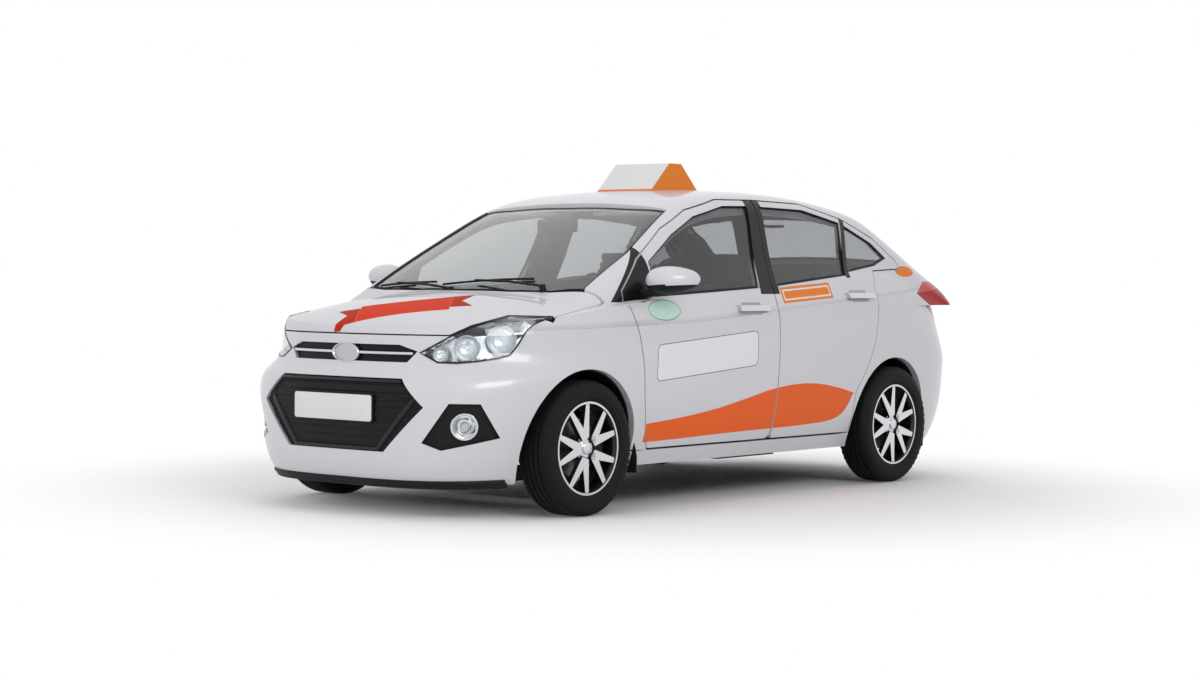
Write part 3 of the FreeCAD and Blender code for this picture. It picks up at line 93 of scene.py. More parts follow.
def add_object(name, mesh):
    piece = bpy.data.objects.new(name, mesh)
    collection.objects.link(piece)
    return piece


def area_light(name, at, aim, wide, tall, watts, mirrored=True):
    lamp = bpy.data.lights.new(name, "AREA")
    lamp.shape, lamp.size, lamp.size_y, lamp.energy = "RECTANGLE", wide, tall, watts
    lamp.color = (1.0, 0.985, 0.97)
    light = bpy.data.objects.new(name, lamp)
    light.visible_glossy = light.visible_transmission = mirrored
    collection.objects.link(light)
    facing = (Vector(aim) - Vector(at)).to_track_quat("-Z", "Y")
    light.matrix_world = Matrix.Translation(at) @ facing.to_matrix().to_4x4()


world = bpy.data.worlds.new("studio")
scene.world = world
world.use_nodes = True
studio = world.node_tree
studio.nodes.clear()
sky = studio.nodes.new("ShaderNodeOutputWorld")
shine, glow = (studio.nodes.new("ShaderNodeBackground") for _ in range(2))
for backdrop, colour, strength in ((shine, (1, 1, 1, 1), 1.0), (glow, (0.92, 0.93, 1, 1), 0.36)):
    backdrop.inputs["Color"].default_value = colour
    backdrop.inputs["Strength"].default_value = strength
choose = studio.nodes.new("ShaderNodeMixShader")


def seen_or_mirrored(tree):
    """1 for rays from the camera, from a mirror or through glass, and 0 for light itself."""
    path = tree.nodes.new("ShaderNodeLightPath")
    total = path.outputs["Is Camera Ray"]
    for ray in ("Is Glossy Ray", "Is Transmission Ray"):
        either = tree.nodes.new("ShaderNodeMath")
        either.operation = "MAXIMUM"
        tree.links.new(total, either.inputs[0])
        tree.links.new(path.outputs[ray], either.inputs[1])
        total = either.outputs[0]
    return total


studio.links.new(seen_or_mirrored(studio), choose.inputs["Fac"])
studio.links.new(glow.outputs["Background"], choose.inputs[1])
studio.links.new(shine.outputs["Background"], choose.inputs[2])
studio.links.new(choose.outputs["Shader"], sky.inputs["Surface"])

area_light("key_panel", (3.5, 7.5, 4.6), (0.2, 0.4, 0.6), 5.0, 3.0, 235)
area_light("top_panel", (0.0, 0.0, 6.5), (0, 0, 0), 7.0, 3.5, 95, False)
area_light("far_panel", (-5.5, -6.5, 4.5), (-0.3, -0.2, 0.6), 5.0, 3.0, 150, False)
area_light("nose_panel", (8.0, -1.5, 3.5), (1.2, 0, 0.6), 4.0, 2.5, 135, False)

# %% [markdown]
# ## Shader helpers
# Most finishes differ only in a few numbers: a colour, a roughness, and how fine their grain is.
# One node group holds what they share: small bumps from noise, and a slow change of roughness.

# %% Shader node groups


def group_tree(name, inputs, outputs):
    tree = bpy.data.node_groups.new(name, "ShaderNodeTree")
    for label, kind, value in inputs:
        socket = tree.interface.new_socket(label, in_out="INPUT", socket_type=kind)
        if value is not None:
            socket.default_value = value
    for label, kind in outputs:
        tree.interface.new_socket(label, in_out="OUTPUT", socket_type=kind)
    return tree, tree.nodes.new("NodeGroupInput"), tree.nodes.new("NodeGroupOutput")


def wire(tree, start, end):
    tree.links.new(start, end)


def math_node(tree, operation, *values):
    node = tree.nodes.new("ShaderNodeMath")
    node.operation = operation
    for slot_number, value in enumerate(values):
        if isinstance(value, (int, float)):
            node.inputs[slot_number].default_value = value
        else:
            tree.links.new(value, node.inputs[slot_number])
    return node.outputs[0]


grain_tree, grain_in, grain_out = group_tree(
    "fine_grain", (("Scale", "NodeSocketFloat", 400.0), ("Vary", "NodeSocketFloat", 0.1)),
    (("Height", "NodeSocketFloat"), ("Change", "NodeSocketFloat")))
place = grain_tree.nodes.new("ShaderNodeTexCoord")
noise = grain_tree.nodes.new("ShaderNodeTexNoise")
patches = grain_tree.nodes.new("ShaderNodeTexNoise")
patches.inputs["Scale"].default_value = 6.0
for texture in (noise, patches):
    wire(grain_tree, place.outputs["Object"], texture.inputs["Vector"])
wire(grain_tree, grain_in.outputs["Scale"], noise.inputs["Scale"])
wire(grain_tree, noise.outputs[0], grain_out.inputs["Height"])
swing = math_node(grain_tree, "SUBTRACT", patches.outputs[0], 0.5)
swing = math_node(grain_tree, "MULTIPLY", swing, grain_in.outputs["Vary"])
wire(grain_tree, swing, grain_out.inputs["Change"])


def finish(name, colour, rough, grain=400.0, bump=0.05, vary=0.1, **sockets):
    """Material with a colour, a roughness that varies a little, and a fine grain."""
    material = bpy.data.materials.new(name)
    material.use_nodes = True
    tree = material.node_tree
    shader = tree.nodes["Principled BSDF"]
    shader.inputs["Base Color"].default_value = (*colour, 1)
    for socket, value in sockets.items():
        shader.inputs[socket.replace("_", " ")].default_value = value
    group = tree.nodes.new("ShaderNodeGroup")
    group.node_tree = grain_tree
    group.inputs["Scale"].default_value = grain
    group.inputs["Vary"].default_value = vary
    bumps = tree.nodes.new("ShaderNodeBump")
    bumps.inputs["Strength"].default_value = bump
    bumps.inputs["Distance"].default_value = 0.001
    wire(tree, group.outputs["Height"], bumps.inputs["Height"])
    wire(tree, bumps.outputs["Normal"], shader.inputs["Normal"])
    wire(tree, math_node(tree, "ADD", group.outputs["Change"], rough), shader.inputs["Roughness"])
    return material


def wear(material, *names):
    """Put a material on CAD pieces."""
    for name in names:
        slots = nodes[name].data.materials
        slots.clear()
        slots.append(material)


# %% Finishes
PAINT = (0.69, 0.695, 0.725)
paint = finish("pearl_paint", PAINT, 0.34, 2500.0, 0.02, 0.05, Metallic=0.08, Coat_Weight=0.6,
               Coat_Roughness=0.03, Specular_IOR_Level=0.12)
DULL = {"Specular_IOR_Level": 0.16}
black_gloss = finish("black_gloss", (0.006, 0.006, 0.007), 0.12, 900.0, 0.02,
                     Specular_IOR_Level=0.35)
black_plastic = finish("black_plastic", (0.010, 0.010, 0.011), 0.48, 1500.0, 0.25, **DULL)
grey_plastic = finish("grey_plastic", (0.055, 0.055, 0.058), 0.6, 1500.0, 0.3, **DULL)
beige_plastic = finish("light_trim", (0.36, 0.34, 0.31), 0.6, 1500.0, 0.3)
rubber = finish("tyre_rubber", (0.007, 0.007, 0.0075), 0.66, 700.0, 0.25, **DULL)
chrome = finish("chrome", (0.62, 0.63, 0.65), 0.09, 900.0, 0.0, 0.04, Metallic=1.0)
machined = finish("machined_alloy", (0.66, 0.67, 0.69), 0.26, 2600.0, 0.08, Metallic=1.0)
dark_alloy = finish("dark_alloy", (0.020, 0.020, 0.022), 0.32, 1200.0, 0.05, Metallic=0.3, **DULL)
cast_iron = finish("cast_iron", (0.045, 0.044, 0.043), 0.65, 500.0, 0.5, Metallic=0.3, **DULL)
steel = finish("dull_steel", (0.30, 0.29, 0.28), 0.42, 600.0, 0.2, Metallic=1.0)
cloth = finish("seat_cloth", (0.14, 0.135, 0.135), 0.9, 1800.0, 0.6, Sheen_Weight=0.3, **DULL)
clear_glass = finish("clear_glass", (0.90, 0.92, 0.92), 0.0, 50.0, 0.0, 0.0,
                     Transmission_Weight=1.0, IOR=1.45)
dark_glass = finish("dark_glass", (0.40, 0.41, 0.43), 0.0, 50.0, 0.0, 0.0,
                    Transmission_Weight=1.0, IOR=1.45)
clear_lens = finish("clear_lens", (0.93, 0.95, 0.97), 0.02, 50.0, 0.0, 0.0,
                    Transmission_Weight=1.0, IOR=1.45)
red_lens = finish("red_lens", (0.44, 0.004, 0.008), 0.12, 200.0, 0.02, 0.02, Specular_IOR_Level=0.2)
sign_white = finish("sign_white", (0.80, 0.80, 0.80), 0.35, 900.0, 0.02, Specular_IOR_Level=0.3)
reflector = finish("lamp_reflector", (0.80, 0.82, 0.84), 0.12, 300.0, 0.6, 0.05, Metallic=1.0)
silver_trim = finish("silver_trim", (0.50, 0.51, 0.53), 0.30, 1800.0, 0.05, Metallic=0.9)
plate_white = finish("plate_white", (0.80, 0.80, 0.79), 0.35, 1200.0, 0.05)
seal_rubber = finish("seal_rubber", (0.007, 0.007, 0.008), 0.45, 1400.0, 0.1, **DULL)
mirror_silver = finish("mirror_silver", (0.88, 0.90, 0.92), 0.02, 50.0, 0.0, 0.0, Metallic=1.0)
# Grey for the parking sensors. On the handle cups it is painted shade: the cups are body colour, and
# this grey stands for the shade in the finger recess.
cup_shade_and_sensor_grey = finish("cup_shade_and_sensor_grey", (0.34, 0.34, 0.37), 0.4, 2500.0, 0.05, 0.05, Coat_Weight=1.0)

wear(paint, "front_bumper", "rear_bumper", "boot_lid", "sills")
SIDES = {"left": 1, "right": -1}
for side in SIDES:
    wear(paint, "mirror_" + side)
    wear(chrome, "handle_front_" + side, "handle_rear_" + side)
    wear(dark_glass, "door_glass_front_" + side, "door_glass_rear_" + side)
    wear(cast_iron, "knuckle_" + side)
wear(clear_glass, "windscreen", "rear_window")
wear(clear_lens, "front_lamps")
wear(black_plastic, "grilles", "wheel_liners", "steering_wheel")
wear(black_plastic, "b_pillars")
wear(grey_plastic, "dashboard", "rear_bulkhead", "seat_bases")
wear(cast_iron, "front_frame", "floor_pan", "firewall", "engine_block", "front_suspension",
     "rear_axle", "fuel_tank")
wear(steel, "exhaust")
wear(cloth, "seat_cushions", "seat_backs", "head_rests", "rear_bench", "rear_seat_back")
WHEELS = ("front_left", "front_right", "rear_left", "rear_right")
for wheel in WHEELS:
    wear(rubber, "tyre_" + wheel)

# %% [markdown]
# ## Painted signs
# The cab wears an orange wave along its doors, a ribbon on its bonnet and a few stickers. They are
# colour on the paint, so masks in the paint's own shader draw them, in the car's coordinates, and
# they stay on the panel when a door opens. Every sticker is left blank. Two node groups measure
# shapes: a rounded box and an oval. Both give 1 inside and 0 outside.

# %% Mask groups
MASK_SOCKETS = (("U", "NodeSocketFloat", 0.0), ("V", "NodeSocketFloat", 0.0),
                ("Half U", "NodeSocketFloat", 0.1), ("Half V", "NodeSocketFloat", 0.1),
                ("Corner", "NodeSocketFloat", 0.01))
EDGE = 0.0016


def inside(tree, distance):
    """Distance outside an edge turned into a mask: 1 inside, 0 outside."""
    depth = math_node(tree, "SUBTRACT", 0.5, math_node(tree, "DIVIDE", distance, EDGE))
    return math_node(tree, "MINIMUM", 1.0, math_node(tree, "MAXIMUM", 0.0, depth))


MASK_OUT = (("Mask", "NodeSocketFloat"),)
box_tree, box_in, box_out = group_tree("rounded_box_mask", MASK_SOCKETS, MASK_OUT)
beyond = []
for axis_name in ("U", "V"):
    reach = math_node(box_tree, "ABSOLUTE", box_in.outputs[axis_name])
    reach = math_node(box_tree, "SUBTRACT", reach, box_in.outputs["Half " + axis_name])
    beyond.append(math_node(box_tree, "ADD", reach, box_in.outputs["Corner"]))
squares = [math_node(box_tree, "POWER", math_node(box_tree, "MAXIMUM", reach, 0.0), 2.0)
           for reach in beyond]
round_part = math_node(box_tree, "SQRT", math_node(box_tree, "ADD", *squares))
flat_part = math_node(box_tree, "MINIMUM", math_node(box_tree, "MAXIMUM", *beyond), 0.0)
gap = math_node(box_tree, "SUBTRACT", math_node(box_tree, "ADD", round_part, flat_part),
                box_in.outputs["Corner"])
wire(box_tree, inside(box_tree, gap), box_out.inputs["Mask"])

oval_tree, oval_in, oval_out = group_tree("oval_mask", MASK_SOCKETS[:4], MASK_OUT)
shares = [math_node(oval_tree, "POWER", math_node(
    oval_tree, "DIVIDE", math_node(oval_tree, "ABSOLUTE", oval_in.outputs[axis_name]),
    oval_in.outputs["Half " + axis_name]), 2.0) for axis_name in ("U", "V")]
ring = math_node(oval_tree, "SUBTRACT",
                 math_node(oval_tree, "SQRT", math_node(oval_tree, "ADD", *shares)), 1.0)
ring = math_node(oval_tree, "MULTIPLY", ring, oval_in.outputs["Half V"])
wire(oval_tree, inside(oval_tree, ring), oval_out.inputs["Mask"])


# %% Sign painter
class SignPainter:
    """Adds masks and colours to a copy of the paint, between its base colour and its shader."""

    def __init__(self, material):
        self.tree = material.node_tree
        self.shader = self.tree.nodes["Principled BSDF"]
        spots = self.tree.nodes.new("ShaderNodeTexCoord")
        parts = self.tree.nodes.new("ShaderNodeSeparateXYZ")
        facing = self.tree.nodes.new("ShaderNodeSeparateXYZ")
        wire(self.tree, spots.outputs["Object"], parts.inputs[0])
        wire(self.tree, spots.outputs["Normal"], facing.inputs[0])
        self.x, self.y, self.z = parts.outputs
        self.facing = facing.outputs
        outward = self.times(self.facing[1], self.math("SIGN", self.y))
        self.on_side = self.over(outward, 0.25)
        self.inner_side = self.under(outward, -0.15)
        self.on_top = self.over(self.facing[2], 0.3)
        self.colour = None
        self.base = tuple(self.shader.inputs["Base Color"].default_value)

    def math(self, operation, *values):
        return math_node(self.tree, operation, *values)

    plus, minus = partialmethod(math, "ADD"), partialmethod(math, "SUBTRACT")
    times, share = partialmethod(math, "MULTIPLY"), partialmethod(math, "DIVIDE")
    over, under = partialmethod(math, "GREATER_THAN"), partialmethod(math, "LESS_THAN")
    size = partialmethod(math, "ABSOLUTE")

    def line(self, first, first_slope, second, second_slope, level):
        """first * slope + second * slope - level."""
        return self.minus(self.plus(self.times(first, first_slope),
                                               self.times(second, second_slope)), level)

    def shape(self, group, u, v, *sizes):
        node = self.tree.nodes.new("ShaderNodeGroup")
        node.node_tree = group
        for name, value in zip(("U", "V"), (u, v)):
            wire(self.tree, value, node.inputs[name])
        for name, value in zip(("Half U", "Half V", "Corner"), sizes):
            node.inputs[name].default_value = value
        return node.outputs["Mask"]

    def inside(self, distance):
        return inside(self.tree, distance)

    def all_of(self, *masks):
        total = masks[0]
        for mask in masks[1:]:
            total = self.times(total, mask)
        return total

    def paint(self, mask, colour, **values):
        """Colour where a mask is 1, with plain values for other sockets there."""
        mix = self.tree.nodes.new("ShaderNodeMix")
        mix.data_type = "RGBA"
        wire(self.tree, mask, mix.inputs["Factor"])
        if self.colour is None:
            mix.inputs[6].default_value = self.base
        else:
            wire(self.tree, self.colour, mix.inputs[6])
        mix.inputs[7].default_value = (*colour, 1)
        self.colour = mix.outputs[2]
        wire(self.tree, self.colour, self.shader.inputs["Base Color"])
        for socket, value in values.items():
            blend = self.tree.nodes.new("ShaderNodeMix")
            inlet = self.shader.inputs[socket.replace("_", " ")]
            wire(self.tree, mask, blend.inputs["Factor"])
            if inlet.is_linked:
                wire(self.tree, inlet.links[0].from_socket, blend.inputs[2])
            else:
                blend.inputs[2].default_value = inlet.default_value
            blend.inputs[3].default_value = value
            wire(self.tree, blend.outputs[0], inlet)



def painted(base, name):
    """Copy of a finish, and the painter that adds colours to it."""
    material = base.copy()
    material.name = name
    return material, SignPainter(material)

WAVE_ORANGE, STICKER_ORANGE = (0.90, 0.135, 0.015), (0.86, 0.24, 0.03)
RIBBON_RED, RIBBON_TAIL = (0.76, 0.045, 0.012), (0.55, 0.028, 0.008)
GREEN, PALE_GREEN, STICKER_WHITE = (0.03, 0.36, 0.16), (0.60, 0.82, 0.72), (0.84, 0.84, 0.86)
DARK_LINE, PILLAR_BLACK = (0.09, 0.10, 0.13), (0.006, 0.006, 0.007)
DOOR_TRIM, HEADLINER = (0.16, 0.155, 0.15), (0.42, 0.41, 0.39)
VINYL = {"Coat_Weight": 0.1, "Metallic": 0.0}

# %% Wave, stickers and black pillars
side_paint, signs = painted(paint, "side_paint")
WAVE_TOP = ((0.900, 0.380), (0.858, 0.382), (0.405, 0.423), (0.078, 0.477), (-0.091, 0.508),
            (-0.305, 0.527), (-0.452, 0.525), (-0.646, 0.500), (-0.800, 0.467), (-0.900, 0.440))
WAVE_FOOT = ((0.900, 0.298), (0.798, 0.299), (0.201, 0.313), (-0.505, 0.328), (-0.600, 0.334),
             (-0.690, 0.355), (-0.750, 0.400), (-0.800, 0.467), (-0.900, 0.520))
WAVE_START, WAVE_LENGTH, WAVE_LOW, WAVE_RISE = 0.9, 1.8, 0.2, 0.4
along = signs.share(signs.minus(WAVE_START, signs.x), WAVE_LENGTH)
edges = []
for spots in (WAVE_TOP, WAVE_FOOT):
    curve = signs.tree.nodes.new("ShaderNodeFloatCurve")
    line = curve.mapping.curves[0]
    while len(line.points) < len(spots):
        line.points.new(0.5, 0.5)
    for point, (x, z) in zip(sorted(line.points, key=lambda spot: spot.location[0]), spots):
        point.location = ((WAVE_START - x) / WAVE_LENGTH, (z - WAVE_LOW) / WAVE_RISE)
    curve.mapping.update()
    wire(signs.tree, along, curve.inputs["Value"])
    edges.append(signs.plus(signs.times(curve.outputs[0], WAVE_RISE), WAVE_LOW))
wave = signs.all_of(signs.inside(signs.minus(signs.z, edges[0])),
                    signs.inside(signs.minus(edges[1], signs.z)),
                    signs.inside(signs.minus(signs.x, 0.846)),
                    signs.inside(signs.minus(-0.800, signs.x)), signs.on_side)
signs.paint(wave, WAVE_ORANGE, **VINYL)

# Each sticker: its shape, its middle (x, z), its slope, and its layers from the edge inwards.
STICKERS = (
    (box_tree, 0.420, 0.680, -0.0725, (((0.382, 0.083, 0.028), DARK_LINE),
                                       ((0.3785, 0.0795, 0.0245), STICKER_WHITE)), {}),
    (oval_tree, 0.735, 0.889, 0.0, (((0.115, 0.047), GREEN), ((0.111, 0.043), PALE_GREEN)), VINYL),
    (box_tree, -0.410, 0.966, -0.06, (((0.215, 0.038, 0.004), STICKER_ORANGE),
                                      ((0.200, 0.026, 0.004), STICKER_WHITE),
                                      ((0.192, 0.018, 0.004), STICKER_ORANGE)), VINYL),
    (oval_tree, -1.395, 1.075, 0.0, (((0.095, 0.033), STICKER_WHITE),
                                     ((0.090, 0.028), STICKER_ORANGE)), VINYL))
for group, at_x, at_z, slope, layers, sheen in STICKERS:
    sticker_u = signs.minus(signs.x, at_x)
    sticker_v = signs.line(signs.z, 1.0, signs.x, -slope, at_z - slope * at_x)
    for sizes, colour in layers:
        sticker = signs.shape(group, sticker_u, sticker_v, *sizes)
        signs.paint(signs.all_of(sticker, signs.on_side), colour, **sheen)

pillar = signs.all_of(signs.inside(signs.line(signs.x, 1.0, signs.z, 0.21, -0.030 + 0.21 * 0.947)),
                      signs.inside(signs.line(signs.x, -1.0, signs.z, -0.15, 0.190 - 0.15 * 0.997)),
                      signs.over(signs.z, 0.960))
sail = signs.all_of(signs.over(signs.x, 0.752), signs.over(signs.z, 0.924),
                    signs.over(signs.line(signs.z, 1.0, signs.x, 0.25, 0.925 + 0.25 * 0.86), 0.0),
                    signs.inside(signs.line(signs.z, 1.0, signs.x, 0.82, 0.915 + 0.82 * 1.070)))
bar_line = signs.line(signs.x, 1.0, signs.z, 0.3374, -0.921 + 0.3374 * 1.328)
quarter_bar = signs.all_of(signs.inside(signs.minus(signs.size(bar_line), 0.020)),
                           signs.over(signs.z, 1.040))
sail = signs.all_of(sail, signs.on_side)
for black in (pillar, sail, quarter_bar):
    signs.paint(black, PILLAR_BLACK, Coat_Weight=0.25, Metallic=0.0)
signs.paint(signs.inner_side, DOOR_TRIM, Coat_Weight=0.0, Metallic=0.0, Roughness=0.7)
wear(side_paint, "quarters", "a_pillars", "front_fenders")
for side in SIDES:
    wear(side_paint, "door_front_" + side, "door_rear_" + side)

roof_paint, signs = painted(paint, "roof_paint")
signs.paint(signs.under(signs.facing[2], -0.1), HEADLINER, Coat_Weight=0.0, Metallic=0.0,
            Roughness=0.85)
wear(roof_paint, "roof_panel")

# %% Roof sign, wheels and tail lamps in two colours
sign_paint, signs = painted(sign_white, "sign_paint")
end_face = signs.over(signs.size(signs.facing[1]), 0.6)
SIGN_FOOT = 1.4665
foot_line = signs.under(signs.z, SIGN_FOOT)
signs.paint(foot_line, (0.86, 0.22, 0.012))
signs.paint(end_face, (0.88, 0.235, 0.012))
wear(sign_paint, "taxi_sign")

rim_metal, signs = painted(machined, "rim_metal")
SPOKE_FACES, DISC_FACES = 0.798, 0.745
outer_face = signs.times(signs.over(signs.size(signs.facing[1]), 0.72),
                         signs.over(signs.size(signs.y), SPOKE_FACES))
signs.paint(signs.minus(1.0, outer_face), (0.012, 0.012, 0.013), Metallic=0.2, Roughness=0.3)
brake_disc = signs.under(signs.size(signs.y), DISC_FACES)
signs.paint(brake_disc, (0.25, 0.245, 0.24), Metallic=0.9, Roughness=0.35)
for wheel in WHEELS:
    wear(rim_metal, "rim_" + wheel)

tail_paint, signs = painted(red_lens, "tail_paint")
clear_part = signs.over(signs.line(signs.z, 1.0, signs.x, 0.10, 0.815), 0.0)
signs.paint(clear_part, (0.62, 0.10, 0.10))
wear(tail_paint, "tail_lamps")

# %% Shoulder crease and tread cuts
signs = SignPainter(side_paint)
CREASE = ((0.490, 0.833, -0.0283), (0.490, 0.833, -0.0744))
rows = [signs.line(signs.z, 1.0, signs.x, -slope, z - slope * x) for x, z, slope in CREASE]
above = signs.math("MINIMUM", *rows)
ridge = signs.math("MAXIMUM", 0.0, signs.math("MINIMUM", signs.minus(1.0, signs.math(
    "DIVIDE", above, 0.030)), signs.plus(1.0, signs.share(above, 0.110))))


def second_bump(tree, height, depth):
    """Bump of a given depth in metres on top of the one a finish already has."""
    shader = tree.nodes["Principled BSDF"]
    fold = tree.nodes.new("ShaderNodeBump")
    fold.inputs["Distance"].default_value = depth
    wire(tree, shader.inputs["Normal"].links[0].from_socket, fold.inputs["Normal"])
    wire(tree, height, fold.inputs["Height"])
    wire(tree, fold.outputs["Normal"], shader.inputs["Normal"])


second_bump(side_paint.node_tree, signs.math("POWER", ridge, 1.6), 0.016)

tread_rubber = rubber.copy()
tread_rubber.name = "tread_rubber"
tread = tread_rubber.node_tree
map_node = tread.nodes.new("ShaderNodeUVMap")
map_node.uv_map = "around"
round_parts = tread.nodes.new("ShaderNodeSeparateXYZ")
wire(tread, map_node.outputs["UV"], round_parts.inputs[0])
cut_place = math_node(tread, "FRACT", math_node(tread, "MULTIPLY", round_parts.outputs[0], 108.0))
cut = math_node(tread, "GREATER_THAN", math_node(tread, "ABSOLUTE", math_node(
    tread, "SUBTRACT", cut_place, 0.5)), 0.10)
on_tread = math_node(tread, "LESS_THAN", round_parts.outputs[1], 0.125)
second_bump(tread, math_node(tread, "MULTIPLY", cut, on_tread), 0.003)

# %% Ribbon on the bonnet
bonnet_paint, signs = painted(paint, "bonnet_paint")
signs.shader.inputs["Specular IOR Level"].default_value = 0.0
RIBBON_AT, RIBBON_ALONG = Vector((1.626, 0.060)), Vector((-0.6365, 0.7713))
ribbon_u = signs.line(signs.x, RIBBON_ALONG.x, signs.y, RIBBON_ALONG.y, RIBBON_AT.dot(RIBBON_ALONG))
ribbon_v = signs.line(signs.x, RIBBON_ALONG.y, signs.y, -RIBBON_ALONG.x,
                      RIBBON_AT.dot(Vector((RIBBON_ALONG.y, -RIBBON_ALONG.x))))
for end in (1, -1):
    tail_u = signs.minus(ribbon_u, end * 0.215)
    tail_v = signs.plus(ribbon_v, end * 0.030)
    tail = signs.shape(box_tree, tail_u, tail_v, 0.085, 0.135, 0.002)
    notch = signs.minus(signs.plus(signs.times(tail_u, end), -0.035),
                       signs.times(signs.size(tail_v), 0.40))
    signs.paint(signs.all_of(tail, signs.inside(notch), signs.on_top), RIBBON_TAIL, **VINYL)
for half_u, half_v, colour in ((0.205, 0.165, (0.84, 0.13, 0.02)), (0.201, 0.155, RIBBON_RED)):
    body = signs.shape(box_tree, ribbon_u, ribbon_v, half_u, half_v, 0.003)
    signs.paint(signs.all_of(body, signs.on_top), colour, **VINYL)
wear(bonnet_paint, "bonnet")
print("painted signs: wave, ribbon, 4 stickers, black pillars")

# %% [markdown]
# ## Piece helpers
# Every added piece goes the same way: a bmesh is cleaned, its faces are turned outwards, it becomes
# a mesh with smooth faces and sharp edges, and it rides on the body that carries it. A ray cast
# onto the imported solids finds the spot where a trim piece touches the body.

# %% Piece helpers
trees = {}
MERGE = 1e-5


def cast(names, start, toward):
    """First spot where a ray meets one of the CAD pieces, and the outward normal there."""
    start, toward = Vector(start), Vector(toward).normalized()
    best = (None, None)
    for name in names:
        if name not in trees:
            mesh = nodes[name].data
            trees[name] = BVHTree.FromPolygons([vert.co.copy() for vert in mesh.vertices],
                                               [tuple(face.vertices) for face in mesh.polygons])
        spot, normal, _, _ = trees[name].ray_cast(start, toward)
        if spot and (best[0] is None or (spot - start).length < (best[0] - start).length):
            best = (spot, normal if normal.dot(toward) < 0 else -normal)
    return best


def add_piece(name, bm, material, body="shell", sharp=40):
    """Turn a bmesh into a smooth piece that rides on a body."""
    bmesh.ops.remove_doubles(bm, verts=bm.verts, dist=MERGE)
    bmesh.ops.recalc_face_normals(bm, faces=bm.faces)
    mesh = bpy.data.meshes.new(name)
    bm.to_mesh(mesh)
    bm.free()
    mesh.shade_smooth()
    mesh.set_sharp_from_angle(angle=math.radians(sharp))
    for finish_of_face in (material if isinstance(material, (list, tuple)) else [material]):
        mesh.materials.append(finish_of_face)
    piece = add_object(name, mesh)
    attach(piece, body)
    return piece


def soften(bm, width, segments=2, angle=30):
    """Round off every edge that is sharper than an angle."""
    edges = [edge for edge in bm.edges
             if len(edge.link_faces) == 2 and edge.calc_face_angle(0) > math.radians(angle)]
    bmesh.ops.bevel(bm, geom=edges, offset=width, offset_type="OFFSET", segments=segments,
                    profile=0.5, affect="EDGES", clamp_overlap=True, material=-1)


def shift(bm, verts, vec):
    bmesh.ops.translate(bm, vec=Vector(vec), verts=verts)


def raised(bm, faces, push):
    """Extrude faces along a vector."""
    made = bmesh.ops.extrude_face_region(bm, geom=faces)["geom"]
    shift(bm, [item for item in made if isinstance(item, bmesh.types.BMVert)], push)


def slab(bm, outline, push):
    """Flat outline pushed along a vector into a closed block."""
    raised(bm, [bm.faces.new([bm.verts.new(spot) for spot in outline])], push)


def brick(bm, low, high):
    """Plain block between two corners."""
    middle = [(a + b) / 2 for a, b in zip(low, high)]
    bmesh.ops.create_cube(bm, size=1, matrix=Matrix.Translation(middle)
                          @ Matrix.Diagonal([b - a for a, b in zip(low, high)] + [1]))


def turned(bm, profile, at, axis, steps=32):
    """Spin a profile of (along, radius) points round an axis through a spot."""
    axis = Vector(axis).normalized()
    side = axis.orthogonal().normalized()
    verts = [bm.verts.new(Vector(at) + axis * along + side * radius) for along, radius in profile]
    edges = [bm.edges.new(pair) for pair in zip(verts, verts[1:])]
    bmesh.ops.spin(bm, geom=verts + edges, cent=at, axis=axis, angle=2 * math.pi, steps=steps,
                   use_merge=True, use_duplicate=False)


def bar(bm, spots, radius, closed=False, round_steps=2):
    """Round bar along a smooth line through the spots, added to a bmesh."""
    curve = bpy.data.curves.new("bar", "CURVE")
    curve.dimensions, curve.bevel_depth = "3D", radius
    curve.bevel_resolution, curve.use_fill_caps = round_steps, True
    line = curve.splines.new("POLY")
    line.points.add(len(spots) - 1)
    for point, spot in zip(line.points, spots):
        point.co = (*spot, 1)
    line.use_cyclic_u = closed
    holder = bpy.data.objects.new("bar", curve)
    mesh = bpy.data.meshes.new_from_object(holder)
    bm.from_mesh(mesh)
    bpy.data.objects.remove(holder)
    bpy.data.meshes.remove(mesh)


def drape(bm, names, toward, lift):
    """Lay a flat sheet on CAD pieces: each point goes along a direction until it meets one."""
    toward = Vector(toward).normalized()
    for vert in bm.verts:
        spot, normal = cast(names, vert.co - toward * 2, toward)
        if spot:
            vert.co = spot + normal * lift


def sheet_of(bm, across, up, corner, centre, wide, tall, cuts=(16, 6)):
    """Rounded rectangle of small faces, spread along two directions round a centre."""
    bmesh.ops.create_grid(bm, x_segments=cuts[0], y_segments=cuts[1], size=0.5)
    for vert in bm.verts:
        vert.co = Vector((vert.co.x * wide, vert.co.y * tall, 0))
    corners = [vert for vert in bm.verts if len(vert.link_edges) == 2]
    bmesh.ops.bevel(bm, geom=corners, offset=corner, offset_type="OFFSET", segments=4, profile=0.5,
                    affect="VERTICES", clamp_overlap=True, material=-1)
    for vert in bm.verts:
        vert.co = Vector(centre) + Vector(across) * vert.co.x + Vector(up) * vert.co.y


FRONT = Vector((1, 0, 0))
OUTSIDE = 3


def front_spot(node, y, z):
    """Spot on a CAD piece that one sees straight from the front at a height."""
    return cast([node], (OUTSIDE, y, z), -FRONT)[0]


def rear_spot(node, y, z):
    return cast([node], (-OUTSIDE, y, z), FRONT)[0]


def row_of(spots, push):
    """Those spots that were found, each pushed by a vector."""
    return [spot + Vector(push) for spot in spots if spot]


def part_of(node, keep):
    """Copy of a CAD piece with only the faces that a test keeps."""
    bm = bmesh.new()
    bm.from_mesh(nodes[node].data)
    bmesh.ops.remove_doubles(bm, verts=bm.verts, dist=MERGE)
    bmesh.ops.delete(bm, geom=[face for face in bm.faces if not keep(face)], context="FACES")
    return bm


def soft_blocks(name, boxes, width, segments, material, body="shell", sharp=40):
    """Piece of plain blocks with rounded edges."""
    bm = bmesh.new()
    for low, high in boxes:
        brick(bm, low, high)
    soften(bm, width, segments)
    return add_piece(name, bm, material, body, sharp)


